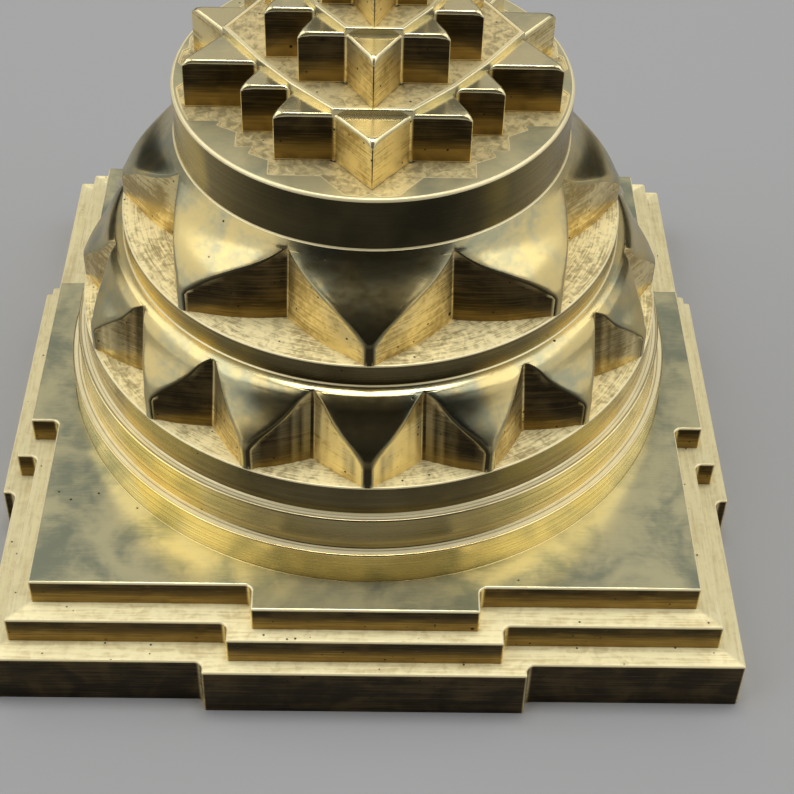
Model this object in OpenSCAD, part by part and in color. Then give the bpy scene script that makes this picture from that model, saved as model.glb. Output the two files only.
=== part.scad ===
// Meru shri yantra: a stepped square base, circle rings, two petal tiers and five
// triangle tiers of brass, stacked in line and clamped from below by a tie rod.
// +Z is up, -Y is the front, and the origin is the middle of the underside.

/* [Square base plates] */
// Side of the lowest square plate, without its gates
base_side = 100; // [92:0.5:110]
// How far each plate's edge steps in from the plate below it
plate_step = 3.1; // [2.4:0.1:3.8]
// Width of the gate block on the lowest plate
gate_w = 42.4; // [36:0.2:50]
// How far each gate's sides step in from the gate below it
gate_step = 3.2; // [2.4:0.1:4]
// How far the lowest gate stands out from its plate's edge
gate_out = 1.8; // [1.2:0.1:2.6]
// How much further out each gate stands from its plate than the gate below
gate_gain = 1.1; // [0.6:0.1:1.6]
// Height of the lower plate
lower_plate_h = 8.2; // [7.4:0.1:10]
// Height of the middle plate
middle_plate_h = 4.2; // [3.4:0.1:5.4]
// Height of the upper plate
upper_plate_h = 4; // [3.4:0.1:5.4]
// Radius that the cutter leaves in the corners beside the gates
gate_web_r = 1; // [0.6:0.1:1.4]

/* [Circle rings] */
// Flat left between the upper plate's edge and the outer ring's wall
ring_inset = 0.7; // [0.3:0.1:1.6]
// Width of the ledge between one ring's wall and the next
ring_ledge = 1.35; // [1:0.05:1.8]
// Height of the outer ring
outer_ring_h = 5.1; // [4:0.1:6.4]
// Height of the middle ring
middle_ring_h = 5.2; // [4:0.1:6.4]
// Hub under the sixteen petals that both rings slip over, diameter
hub_d = 60; // [52:1:68]
// Rounding on the upper edges of rings, rims and drum
edge_r = 0.4; // [0.2:0.05:0.6]

/* [Sixteen petals] */
// Height of the plain rim below the sixteen petals
sixteen_rim_h = 4.9; // [4:0.1:6]
// Height of the skirt that the sixteen petals are cut from
sixteen_skirt_h = 11.5; // [10:0.1:13]
// Width of that skirt, from its rim in to the next tier's rim
sixteen_skirt_w = 6.6; // [6:0.1:7.4]
// How far in from the rim its slope would reach its top, where a round shoulder is instead
sixteen_slope_w = 4.9; // [4.5:0.1:5.3]
// Height of the upright nose at each petal's point, below the slope
sixteen_nose_h = 3.9; // [3.2:0.1:4.6]
// How far the notches between the sixteen petals reach in from the rim
sixteen_notch = 4.25; // [3.6:0.05:5]
// Radius of the sixteen petals' curved sides
sixteen_side_r = 20; // [14:1:40]

/* [Eight petals] */
// Height of the plain rim below the eight petals
eight_rim_h = 3.4; // [2.8:0.1:4.4]
// Height of the sloping skirt that the eight petals are cut from
eight_slope_h = 12; // [10.5:0.1:13.5]
// Width of that skirt, from its rim in to the drum's wall
eight_slope_w = 7.7; // [7:0.1:8.6]
// Height of the upright nose at each petal's point, below the slope
eight_nose_h = 3.4; // [2.6:0.1:4.2]
// How far the notches between the eight petals reach in from the rim
eight_notch = 6.4; // [5.4:0.05:7]
// Radius of the eight petals' curved sides
eight_side_r = 30; // [20:1:60]

/* [Both petal tiers] */
// How far outside the rim the sides of a petal would meet, which blunts its point
petal_tip_land = 0.45; // [0.3:0.05:0.6]
// Radius that the cutter leaves at the inner end of each notch
petal_web_r = 0.5; // [0.3:0.05:0.7]

/* [Drum] */
// Height of the round drum under the triangles
drum_h = 7.7; // [6.6:0.1:9]
// Plain lip left around the milled floor on top of the drum
drum_lip = 1; // [0.6:0.1:1.1]
// Depth of that milled floor
floor_depth = 0.25; // [0.1:0.05:0.5]

/* [Triangle tiers] */
// Flat left between the drum's wall and the yantra's circle
star_margin = 2.1; // [1.4:0.1:3]
// Height of each triangle tier's walls
star_wall_h = 6.9; // [5.6:0.1:8]
// Step up from the small triangles to the seat of the next tier
seat_step = 0.8; // [0.4:0.1:1.2]
// How far inside the triangles' inner corners that seat stays
seat_inset = 0.15; // [0.1:0.05:0.3]
// Radius that the cutter leaves between the fourteen triangles
fourteen_web_r = 1; // [0.6:0.05:1.2]
// Radius that the cutter leaves between the outer ten triangles
ten_outer_web_r = 0.75; // [0.5:0.05:0.9]
// Radius that the cutter leaves between the inner ten triangles
ten_inner_web_r = 0.5; // [0.3:0.05:0.6]
// Radius that the cutter leaves between the eight triangles
eight_star_web_r = 0.25; // [0.15:0.05:0.35]
// Diameter of the bindu, the round dot on the summit
bindu_d = 2.6; // [2:0.1:2.6]
// How much of the bindu's ball is cut off flat below
bindu_flat = 0.65; // [0.4:0.05:0.8]

/* [Yantra lines, in forty-eighths of the circle] */
// Front point of the widest forward triangle, before the centre
front_point = 23.9; // [23:0.1:24.4]
// Rear point of the widest rearward triangle, behind the centre
rear_point = 23.1; // [22.4:0.1:24]
// Half width of the widest forward triangle
wide_half = 23.6; // [22.8:0.1:24]
// First line, behind the centre
line_1 = 16.8; // [16.4:0.05:17.2]
// Second line, behind the centre
line_2 = 9.95; // [9.7:0.05:10.2]
// Third line, behind the centre
line_3 = 4.95; // [4.7:0.05:5.2]
// Seventh line, before the centre
line_7 = 7.55; // [7.3:0.05:7.8]
// Eighth line, before the centre
line_8 = 12.7; // [12.4:0.05:13]
// Ninth line, before the centre
line_9 = 18.2; // [17.9:0.05:18.5]

/* [Joints inside the stack] */
// Tie rod diameter
rod_d = 6; // [5:0.5:8]
// Clearance around the rod where it only passes through
rod_gap = 0.3; // [0.2:0.05:0.5]
// Clearance around spigots, hubs, dowels and threads
fit_gap = 0.05; // [0.03:0.01:0.1]
// Clearance left at the blind end of a hole
end_gap = 0.3; // [0.2:0.1:0.6]
// Width of the nut across its flats
nut_af = 10; // [10:0.5:13]
// Height of the nut
nut_h = 3.2; // [2.6:0.1:4]
// Washer diameter
washer_d = 18; // [16:0.5:22]
// Washer thickness
washer_h = 1.4; // [1:0.1:1.6]
// Room around the washer in the underside's counterbore
counterbore_gap = 1; // [0.5:0.1:2]
// How far the nut and rod stay up inside the underside
nut_recess = 0.5; // [0.3:0.1:0.8]
// Length of the spigots that locate the petal tiers and the drum
spigot_h = 3; // [2:0.1:4]
// Diameter of the spigot under the eight petals
eight_spigot_d = 30; // [24:0.5:34]
// Diameter of the spigot under the drum
drum_spigot_d = 24; // [18:0.5:28]
// Diameter of the spigot under the fourteen triangles
fourteen_spigot_d = 14; // [10:0.5:16]
// Diameter of the spigot under the outer ten triangles
ten_outer_spigot_d = 10; // [7:0.5:11]
// Diameter of the spigot under the inner ten triangles
ten_inner_spigot_d = 7; // [5:0.5:8]
// Diameter of the spigot under the eight triangles
eight_star_spigot_d = 4.4; // [3:0.2:4.6]
// Diameter of the spigot under the centre triangle
centre_spigot_d = 1.6; // [1.2:0.1:1.8]
// Diameter of the bindu's stem
bindu_stem_d = 1; // [0.8:0.1:1.2]
// Length of the bindu's stem
bindu_stem_h = 2; // [1.4:0.1:3]
// Base dowel diameter
base_dowel_d = 4; // [3:0.5:5]
// How deep the base dowels stand in the lower plate and in the hub
base_dowel_in = 4.6; // [3:0.1:5]
// Distance of the base dowels from the axis
base_dowel_x = 20; // [17:0.5:24]
// Petal dowel diameter
petal_dowel_d = 3; // [2:0.5:4]
// Petal and drum dowel length
petal_dowel_l = 7; // [5:0.5:8]
// Distance of the petal dowels from the axis
petal_dowel_x = 21; // [19:0.5:23]
// Distance of the drum dowels from the axis
drum_dowel_x = 18; // [16:0.5:20]
// Triangle tier dowel diameter
star_dowel_d = 1.5; // [1:0.1:1.6]
// Triangle tier dowel length
star_dowel_l = 5; // [4:0.5:6]
// Distance of the fourteen triangles' dowel before the axis
fourteen_dowel_at = 14; // [13:0.5:15]
// Distance of the outer ten triangles' dowel before the axis
ten_outer_dowel_at = 10.5; // [9:0.5:11.5]
// Distance of the inner ten triangles' dowel before the axis
ten_inner_dowel_at = 7.5; // [6.5:0.5:8]
// Distance of the eight triangles' dowel before the axis
eight_star_dowel_at = 5; // [4.8:0.1:5.2]

/* [Hidden] */
$fn = 96;

brass = [0.80, 0.66, 0.34];
steel = [0.62, 0.63, 0.65];

// A cut runs this far past the faces that it leaves through
past = 1;

// The cutter at the inner end of a petal notch bites this far into the petals' sides
notch_bite = 0.02;

// Petals on each petal tier
sixteen_count = 16;
eight_count = 8;

// The yantra's lines are measured in this many parts of its circle's radius
radius_parts = 24;

// Bands in the round shoulder of the sixteen petals' skirt
shoulder_bands = 8;

// Bands in the curve of each web in the triangle tiers' inner corners
web_bands = 4;

// Levels of the stack, from the underside up
z_middle_plate = lower_plate_h;
z_upper_plate = z_middle_plate + middle_plate_h;
z_outer_ring = z_upper_plate + upper_plate_h;
z_middle_ring = z_outer_ring + outer_ring_h;
z_sixteen = z_middle_ring + middle_ring_h;
z_sixteen_floor = z_sixteen + sixteen_rim_h;
z_eight = z_sixteen_floor + sixteen_skirt_h;
z_eight_floor = z_eight + eight_rim_h;
z_drum = z_eight_floor + eight_slope_h;
z_drum_top = z_drum + drum_h;
star_rise = star_wall_h + seat_step;
z_fourteen = z_drum_top - floor_depth;
z_ten_outer = z_fourteen + star_rise;
z_ten_inner = z_ten_outer + star_rise;
z_eight_star = z_ten_inner + star_rise;
z_centre = z_eight_star + star_rise;
z_bindu = z_centre + star_wall_h;

// Radii of the round tiers, each worked in from the one below
outer_ring_r = base_side / 2 - 2 * plate_step - ring_inset;
middle_ring_r = outer_ring_r - ring_ledge;
sixteen_r = middle_ring_r - ring_ledge;
eight_r = sixteen_r - sixteen_skirt_w;
drum_r = eight_r - eight_slope_w;

// The tie rod, from above the underside to under the fourteen triangles' spigot
z_rod = nut_recess;
z_nut = nut_recess;
z_washer = z_nut + nut_h;
counterbore_h = z_washer + washer_h;
z_fourteen_spigot = z_fourteen - spigot_h;
z_rod_top = z_fourteen_spigot - 2 * end_gap;

// Yantra lines and points in millimetres, with the front negative. Lines 4 to 6 and every
// half width follow from the points where three lines of the figure have to meet.
unit = (drum_r - star_margin) / radius_parts;
tip_f = -front_point * unit;
tip_r = rear_point * unit;
y1 = line_1 * unit;
y2 = line_2 * unit;
y3 = line_3 * unit;
y7 = -line_7 * unit;
y8 = -line_8 * unit;
y9 = -line_9 * unit;

// Each triangle is named by its base line and has [tip, slope], where the slope is half width per length
function half_at(side, y) = side[1] * (side[0] - y);
function meet_y(a, b) = (a[1] * a[0] - b[1] * b[0]) / (a[1] - b[1]);
function meet(a, b) = [half_at(a, meet_y(a, b)), meet_y(a, b)];
function side_through(tip, x, y) = [tip, x / (tip - y)];

t3 = side_through(tip_f, wide_half * unit, y3);
t9 = side_through(y3, half_at(t3, y8), y8);
t2 = side_through(y9, half_at(t9, y7), y7);
t7 = side_through(tip_r, half_at(t2, y3), y3);
t8 = side_through(y1, half_at(t3, y7), y7);
slope_1 = (half_at(t7, y2) - half_at(t8, y3)) / (y2 - y3);
y6 = y3 - half_at(t8, y3) / slope_1;
t1 = [y6, -slope_1];
t6 = side_through(y2, half_at(t2, y6), y6);
t4 = side_through(y8, half_at(t9, y6), y6);
y4 = meet_y(t4, t8);
y5 = meet_y(t4, t6);
t5 = side_through(y7, half_at(t4, y5), y5);

// Right-hand outlines of the triangle tiers from front to rear: tips and inner corners take turns
fourteen_side = [
  [0, tip_f], [half_at(t3, y9), y9], [half_at(t9, y9), y9], [half_at(t3, y8), y8],
  [half_at(t8, y8), y8], [half_at(t3, y7), y7], [half_at(t7, y7), y7], meet(t3, t7),
  [half_at(t3, y3), y3], [half_at(t7, y3), y3], [half_at(t2, y2), y2], [half_at(t7, y2), y2],
  [half_at(t1, y1), y1], [half_at(t7, y1), y1], [0, tip_r]
];
ten_outer_side = [
  [0, y9], [half_at(t2, y8), y8], [half_at(t3, y8), y8], [half_at(t2, y7), y7],
  [half_at(t3, y7), y7], meet(t2, t8), [half_at(t7, y3), y3], [half_at(t8, y3), y3],
  [half_at(t7, y2), y2], [half_at(t8, y2), y2], [0, y1]
];
ten_inner_side = [
  [0, y8], [half_at(t4, y7), y7], [half_at(t2, y7), y7], [half_at(t4, y6), y6],
  [half_at(t2, y6), y6], [half_at(t4, y5), y5], [half_at(t8, y4), y4], [half_at(t6, y4), y4],
  [half_at(t8, y3), y3], [half_at(t6, y3), y3], [0, y2]
];
eight_star_side = [
  [0, y7], [half_at(t5, y6), y6], [half_at(t4, y6), y6], meet(t5, t9),
  [half_at(t4, y5), y5], [half_at(t9, y5), y5], [half_at(t6, y4), y4], [half_at(t9, y4), y4],
  [0, y3]
];

// The circle that fits inside the centre triangle carries its spigot and the bindu
centre_half = half_at(t1, y5);
centre_depth = y5 - y6;
centre_edge = sqrt(centre_half * centre_half + centre_depth * centre_depth);
centre_y = y5 - centre_half * centre_depth / (centre_half + centre_edge);

// Plan shapes

function mirrored(side) = concat(
  side, [for (i = [len(side) - 2:-1:1]) [-side[i][0], side[i][1]]]
);

function inner_corners(side) = [for (i = [1:2:len(side) - 2]) side[i]];

// Seat of the next tier: it runs through the inner corners, a little inside them
function seat_outline(side) = let (
  c = [for (p = inner_corners(side)) p - seat_inset * toward([0, centre_y], p)]
) concat(c, [for (i = [len(c) - 1:-1:0]) [-c[i][0], c[i][1]]]);

function toward(a, b) = (b - a) / norm(b - a);

function turned(v, angle) =
  [v[0] * cos(angle) - v[1] * sin(angle), v[0] * sin(angle) + v[1] * cos(angle)];

// Web that a round cutter leaves in an inner corner between the arms towards a and b
function web(corner, a, b, r) = let (
  da = toward(corner, a),
  db = toward(corner, b),
  half = acos(da * db) / 2,
  from = corner + da * r / tan(half),
  to = corner + db * r / tan(half),
  centre = corner + toward(corner, (from + to) / 2) * r / sin(half),
  sweep = sign(cross(from - centre, to - centre)) * (180 - 2 * half)
) [for (i = [0:web_bands]) centre + turned(from - centre, sweep * i / web_bands)];

// Outline with a web in each inner corner
function webbed(side, r) = [
  for (i = [0:len(side) - 1])
    each i % 2 == 0 ? [side[i]] : web(side[i], side[i - 1], side[i + 1], r)
];

module gate_plate_plan(half, gate_half, out) {
  web_r = min(gate_web_r, out);
  square(2 * half, center = true);
  for (turn = [0:90:270]) rotate(turn) {
    translate([-gate_half, 0]) square([2 * gate_half, half + out]);
    for (flip = [0, 1]) mirror([flip, 0]) translate([gate_half, half]) difference() {
      translate([-past, -past]) square(web_r + past);
      translate([web_r, web_r]) circle(web_r);
    }
  }
}

// Milled notch between two petals: outside both petals' curved sides, round at its inner end.
// A petal's sides would meet a little outside the rim, so each petal keeps a narrow blunt nose.
module notch_plan(count, r, notch_at, side_r) {
  h = 180 / count;
  tip = [0, -r - petal_tip_land];
  outside = [0, -r - petal_tip_land - past / cos(h) - r * (1 / cos(h) - 1)];
  bisector = [sin(h), -cos(h)];
  function across(p) = 2 * (p * bisector) * bisector - p;
  notch = notch_at * bisector;
  chord = notch - tip;
  bow = sqrt(side_r * side_r - chord * chord / 4);
  side_c = (tip + notch) / 2 + [-chord[1], chord[0]] / norm(chord) * bow;
  along = bisector * side_c;
  reach = side_r + petal_web_r;
  web_c = (along + sqrt(along * along - side_c * side_c + reach * reach)) * bisector;
  touch = side_c + (web_c - side_c) * side_r / reach;
  difference() {
    polygon([touch, tip, outside, across(outside), across(tip), across(touch)]);
    translate(side_c) circle(side_r);
    translate(across(side_c)) circle(side_r);
  }
  translate(web_c) circle(petal_web_r + notch_bite);
}

// Solid shapes

module hole(d, z0, z1) {
  translate([0, 0, z0]) cylinder(d = d, h = z1 - z0);
}

module hole_pair(x, d, z0, z1) {
  for (side = [-1, 1]) translate([side * x, 0, 0]) hole(d, z0, z1);
}

module rod_hole(z0, z1) {
  hole(rod_d + 2 * rod_gap, z0, z1);
}

module fitted_hole(d, z0, z1) {
  hole(d + 2 * fit_gap, z0, z1);
}

// Turned disc with a rounded upper edge
module turned_disc(r, h, edge) {
  rotate_extrude() {
    square([r - edge, h]);
    square([r, h - edge]);
    translate([r - edge, h - edge]) intersection() {
      circle(edge);
      square(edge);
    }
  }
}

// Outlines of the skirts above their rims, from the top of the nose up: a slope with a round
// shoulder in narrow bands for the sixteen petals and a plain slope for the eight. The nose carries
// on the rim's own wall.
function shouldered_skirt(r, w, slope_w, h, nose_h) = let (
  nose = [r, nose_h],
  corner = [r - slope_w, h],
  from = corner + (w - slope_w) * toward(corner, nose),
  to = [r - w, h]
) concat([nose], [
  for (i = [0:shoulder_bands]) let (t = i / shoulder_bands)
    (1 - t) * (1 - t) * from + 2 * t * (1 - t) * corner + t * t * to
]);

function sloping_skirt(r, w, h, nose_h) = [[r, nose_h], [r - w, h]];

module turned_skirt(r, rim_h, skirt) {
  raised = [for (p = skirt) p + [0, rim_h]];
  top = raised[len(raised) - 1];
  rotate_extrude() polygon(concat([[0, 0], [r, 0]], raised, [[0, top[1]]]));
}

module petal_tier(z, r, rim_h, skirt, count, notch, side_r) {
  skirt_h = skirt[len(skirt) - 1][1];
  translate([0, 0, z]) difference() {
    turned_skirt(r, rim_h, skirt);
    for (i = [0:count - 1]) rotate(360 * i / count) translate([0, 0, rim_h])
      linear_extrude(skirt_h + past) notch_plan(count, r, r - notch, side_r);
  }
}

// Triangle tier: star-shaped walls, with the next tier's seat raised in the middle
module star_tier(side, z, web_r) {
  translate([0, 0, z]) {
    linear_extrude(star_wall_h) polygon(mirrored(webbed(side, web_r)));
    linear_extrude(star_rise) polygon(seat_outline(side));
  }
}

module spigot(d, y, z) {
  translate([0, y, z - spigot_h]) cylinder(d = d, h = spigot_h);
}

module spigot_bore(d, y, z) {
  translate([0, y, 0]) fitted_hole(d, z - spigot_h - end_gap, z + past);
}

module star_dowel_hole(y, z) {
  half = star_dowel_l / 2 + end_gap;
  translate([0, y, 0]) fitted_hole(star_dowel_d, z - half, z + half);
}

// Square base plates

module base_plate(i, z, h) {
  out = gate_out + i * gate_gain;
  difference() {
    translate([0, 0, z]) linear_extrude(h)
      gate_plate_plan(base_side / 2 - i * plate_step, gate_w / 2 - i * gate_step, out);
    rod_hole(z - past, z + h + past);
    base_dowel_holes();
  }
}

module base_dowel_holes() {
  hole_pair(base_dowel_x, base_dowel_d + 2 * fit_gap,
    z_middle_plate - base_dowel_in - end_gap, z_outer_ring + base_dowel_in + end_gap);
}

module base_plate_lower() {
  color(brass) difference() {
    base_plate(0, 0, lower_plate_h);
    hole(washer_d + 2 * counterbore_gap, -past, counterbore_h);
  }
}

module base_plate_middle() {
  color(brass) base_plate(1, z_middle_plate, middle_plate_h);
}

module base_plate_upper() {
  color(brass) base_plate(2, z_upper_plate, upper_plate_h);
}

// Circle rings

module circle_ring(r, z, h) {
  difference() {
    translate([0, 0, z]) turned_disc(r, h, edge_r);
    fitted_hole(hub_d, z - past, z + h + past);
  }
}

module circle_ring_outer() {
  color(brass) circle_ring(outer_ring_r, z_outer_ring, outer_ring_h);
}

module circle_ring_middle() {
  color(brass) circle_ring(middle_ring_r, z_middle_ring, middle_ring_h);
}

// Petal tiers

module petal_dowel_holes() {
  reach = petal_dowel_l / 2 + end_gap;
  hole_pair(petal_dowel_x, petal_dowel_d + 2 * fit_gap, z_eight - reach, z_eight + reach);
}

module drum_dowel_holes() {
  reach = petal_dowel_l / 2 + end_gap;
  hole_pair(drum_dowel_x, petal_dowel_d + 2 * fit_gap, z_drum - reach, z_drum + reach);
}

module sixteen_petal_tier() {
  color(brass) difference() {
    union() {
      petal_tier(z_sixteen, sixteen_r, sixteen_rim_h,
        shouldered_skirt(sixteen_r, sixteen_skirt_w, sixteen_slope_w, sixteen_skirt_h, sixteen_nose_h),
        sixteen_count, sixteen_notch, sixteen_side_r);
      translate([0, 0, z_outer_ring]) cylinder(d = hub_d, h = z_sixteen - z_outer_ring);
    }
    rod_hole(z_outer_ring - past, z_eight + past);
    base_dowel_holes();
    petal_dowel_holes();
    spigot_bore(eight_spigot_d, 0, z_eight);
  }
}

module eight_petal_tier() {
  color(brass) difference() {
    union() {
      petal_tier(z_eight, eight_r, eight_rim_h,
        sloping_skirt(eight_r, eight_slope_w, eight_slope_h, eight_nose_h),
        eight_count, eight_notch, eight_side_r);
      spigot(eight_spigot_d, 0, z_eight);
    }
    rod_hole(z_eight - spigot_h - past, z_drum + past);
    petal_dowel_holes();
    drum_dowel_holes();
    spigot_bore(drum_spigot_d, 0, z_drum);
  }
}

// Drum and triangle tiers

module triangle_drum() {
  color(brass) difference() {
    union() {
      translate([0, 0, z_drum]) turned_disc(drum_r, drum_h, edge_r);
      spigot(drum_spigot_d, 0, z_drum);
    }
    hole(2 * (drum_r - drum_lip), z_fourteen, z_drum_top + past);
    fitted_hole(rod_d, z_drum - spigot_h - past, z_fourteen);
    drum_dowel_holes();
    spigot_bore(fourteen_spigot_d, 0, z_fourteen);
    star_dowel_hole(-fourteen_dowel_at, z_fourteen);
  }
}

module star_tier_fourteen() {
  color(brass) difference() {
    union() {
      star_tier(fourteen_side, z_fourteen, fourteen_web_r);
      spigot(fourteen_spigot_d, 0, z_fourteen);
    }
    spigot_bore(ten_outer_spigot_d, centre_y, z_ten_outer);
    star_dowel_hole(-fourteen_dowel_at, z_fourteen);
    star_dowel_hole(-ten_outer_dowel_at, z_ten_outer);
  }
}

module star_tier_ten_outer() {
  color(brass) difference() {
    union() {
      star_tier(ten_outer_side, z_ten_outer, ten_outer_web_r);
      spigot(ten_outer_spigot_d, centre_y, z_ten_outer);
    }
    spigot_bore(ten_inner_spigot_d, centre_y, z_ten_inner);
    star_dowel_hole(-ten_outer_dowel_at, z_ten_outer);
    star_dowel_hole(-ten_inner_dowel_at, z_ten_inner);
  }
}

module star_tier_ten_inner() {
  color(brass) difference() {
    union() {
      star_tier(ten_inner_side, z_ten_inner, ten_inner_web_r);
      spigot(ten_inner_spigot_d, centre_y, z_ten_inner);
    }
    spigot_bore(eight_star_spigot_d, centre_y, z_eight_star);
    star_dowel_hole(-ten_inner_dowel_at, z_ten_inner);
    star_dowel_hole(-eight_star_dowel_at, z_eight_star);
  }
}

module star_tier_eight() {
  color(brass) difference() {
    union() {
      star_tier(eight_star_side, z_eight_star, eight_star_web_r);
      spigot(eight_star_spigot_d, centre_y, z_eight_star);
    }
    spigot_bore(centre_spigot_d, centre_y, z_centre);
    star_dowel_hole(-eight_star_dowel_at, z_eight_star);
  }
}

module centre_triangle() {
  color(brass) difference() {
    union() {
      translate([0, 0, z_centre]) linear_extrude(star_wall_h)
        polygon([[0, y6], [centre_half, y5], [-centre_half, y5]]);
      spigot(centre_spigot_d, centre_y, z_centre);
    }
    translate([0, centre_y, 0])
      fitted_hole(bindu_stem_d, z_bindu - bindu_stem_h - end_gap, z_bindu + past);
  }
}

module bindu() {
  color(brass) translate([0, centre_y, z_bindu]) {
    rotate_extrude() intersection() {
      translate([0, bindu_d / 2 - bindu_flat]) circle(d = bindu_d);
      square(bindu_d);
    }
    translate([0, 0, -bindu_stem_h]) cylinder(d = bindu_stem_d, h = bindu_stem_h);
  }
}

// Fastenings inside the stack

module tie_rod() {
  color(steel) hole(rod_d, z_rod, z_rod_top);
}

module tie_washer() {
  color(steel) difference() {
    hole(washer_d, z_washer, counterbore_h);
    rod_hole(z_washer - past, counterbore_h + past);
  }
}

module tie_nut() {
  color(steel) difference() {
    translate([0, 0, z_nut]) cylinder(d = nut_af / cos(30), h = nut_h, $fn = 6);
    fitted_hole(rod_d, z_nut - past, z_washer + past);
  }
}

module base_dowels() {
  color(steel) hole_pair(base_dowel_x, base_dowel_d,
    z_middle_plate - base_dowel_in, z_outer_ring + base_dowel_in);
}

module petal_dowels() {
  color(steel) hole_pair(petal_dowel_x, petal_dowel_d,
    z_eight - petal_dowel_l / 2, z_eight + petal_dowel_l / 2);
}

module drum_dowels() {
  color(steel) hole_pair(drum_dowel_x, petal_dowel_d,
    z_drum - petal_dowel_l / 2, z_drum + petal_dowel_l / 2);
}

module star_dowel(y, z) {
  translate([0, y, 0]) hole(star_dowel_d, z - star_dowel_l / 2, z + star_dowel_l / 2);
}

module star_dowels() {
  color(steel) {
    star_dowel(-fourteen_dowel_at, z_fourteen);
    star_dowel(-ten_outer_dowel_at, z_ten_outer);
    star_dowel(-ten_inner_dowel_at, z_ten_inner);
    star_dowel(-eight_star_dowel_at, z_eight_star);
  }
}

base_plate_lower();
base_plate_middle();
base_plate_upper();
circle_ring_outer();
circle_ring_middle();
sixteen_petal_tier();
eight_petal_tier();
triangle_drum();
star_tier_fourteen();
star_tier_ten_outer();
star_tier_ten_inner();
star_tier_eight();
centre_triangle();
bindu();
tie_rod();
tie_washer();
tie_nut();
base_dowels();
petal_dowels();
drum_dowels();
star_dowels();
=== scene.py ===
# %% [markdown]
# # A meru shri yantra in brass
# The object is a stack of brass tiers: three square plates with a gate on each side, two turned
# rings, a tier of sixteen petals, a tier of eight, a drum, and star-shaped tiers of triangles that
# climb to a dot. Its solids come from the CAD frame. This lesson gives each tier the soft edges
# and the tool marks of hand-polished metal, and lights it as on a studio table.

# %% Load the frame
import math
import bpy
import numpy as np
from mathutils import Matrix, Vector


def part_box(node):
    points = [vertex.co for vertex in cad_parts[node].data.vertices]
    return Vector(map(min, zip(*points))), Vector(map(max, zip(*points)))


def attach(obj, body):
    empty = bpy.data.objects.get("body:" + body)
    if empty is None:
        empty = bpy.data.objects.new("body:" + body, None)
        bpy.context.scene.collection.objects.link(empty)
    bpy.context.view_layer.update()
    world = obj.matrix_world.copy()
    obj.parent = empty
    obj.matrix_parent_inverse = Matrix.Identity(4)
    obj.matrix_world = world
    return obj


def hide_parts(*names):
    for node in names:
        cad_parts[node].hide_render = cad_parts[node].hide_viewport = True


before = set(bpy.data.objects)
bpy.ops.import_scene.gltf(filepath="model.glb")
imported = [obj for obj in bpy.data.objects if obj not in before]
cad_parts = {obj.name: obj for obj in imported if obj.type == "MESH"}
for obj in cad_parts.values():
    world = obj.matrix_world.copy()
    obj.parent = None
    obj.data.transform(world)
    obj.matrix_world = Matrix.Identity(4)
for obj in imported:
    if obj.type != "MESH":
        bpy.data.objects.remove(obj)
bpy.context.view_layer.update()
MM = 0.001
print("CAD nodes:", len(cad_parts))

# %% [markdown]
# ## Camera
# The photograph looks down on the front from a little over forty degrees, close enough for the
# square base to taper. The camera's place was worked out from the corners of the plates and the
# widths of the rings. The picture lies a little below the lens axis, so there is a small shift.

# %% Camera
EYE_MM = Vector((-0.50, -181.66, 190.76))
YAW, PITCH, ROLL = (math.radians(angle) for angle in (1.433, 42.598, 1.796))
LENS_MM = 76.70
SENSOR_MM = 36
PICTURE_PX = 794
SHIFT_DOWN_PX = 80

ahead = Vector((math.sin(YAW) * math.cos(PITCH), math.cos(YAW) * math.cos(PITCH), -math.sin(PITCH)))
level = Vector((math.cos(YAW), -math.sin(YAW), 0))
upright = level.cross(ahead)
right = level * math.cos(ROLL) + upright * math.sin(ROLL)
up = upright * math.cos(ROLL) - level * math.sin(ROLL)

lens = bpy.data.cameras.new("camera")
lens.lens = LENS_MM
lens.sensor_width = SENSOR_MM
lens.shift_y = -SHIFT_DOWN_PX / PICTURE_PX
camera = bpy.data.objects.new("camera", lens)
bpy.context.scene.collection.objects.link(camera)
turn = Matrix((right, up, -ahead)).transposed().to_4x4()
camera.matrix_world = Matrix.Translation(EYE_MM * MM) @ turn
bpy.context.scene.camera = camera
print("camera looks down by", round(math.degrees(PITCH), 1), "degrees")

# %% [markdown]
# ## Floor and light
# Polished metal has little colour of its own: it shows what stands around it. Two softboxes high at
# the sides are what the slopes mirror. Low ones below them are what the flanks mirror, and a dim one
# behind is what the polished tops mirror. A lamp overhead lights the milled floors and ledges, which
# scatter it, and puts sparks on rounded edges. The side towards the camera stays open, so what faces
# it turns dark, as in the photograph.

# %% Floor and light
bpy.context.scene.view_settings.view_transform = "Standard"
FLOOR_SIZE = 12.0
FLOOR_GREY = 0.34
FLOOR_ROUGHNESS = 0.9
ROOM_GLOW = 0.02
AIM_AT = Vector((0, 0, 0.05))

bpy.ops.object.select_all(action="DESELECT")
bpy.ops.mesh.primitive_plane_add(size=FLOOR_SIZE)
floor = bpy.context.object
floor.name = "floor"
paper = bpy.data.materials.new("pale_paper")
paper.use_nodes = True
paper_shader = paper.node_tree.nodes["Principled BSDF"]
paper_shader.inputs["Base Color"].default_value = (FLOOR_GREY, FLOOR_GREY, FLOOR_GREY, 1)
paper_shader.inputs["Roughness"].default_value = FLOOR_ROUGHNESS
floor.data.materials.append(paper)

room = bpy.data.worlds.new("room")
bpy.context.scene.world = room
room.use_nodes = True
room.node_tree.nodes["Background"].inputs["Color"].default_value = (1, 1, 1, 1)
room.node_tree.nodes["Background"].inputs["Strength"].default_value = ROOM_GLOW


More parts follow.
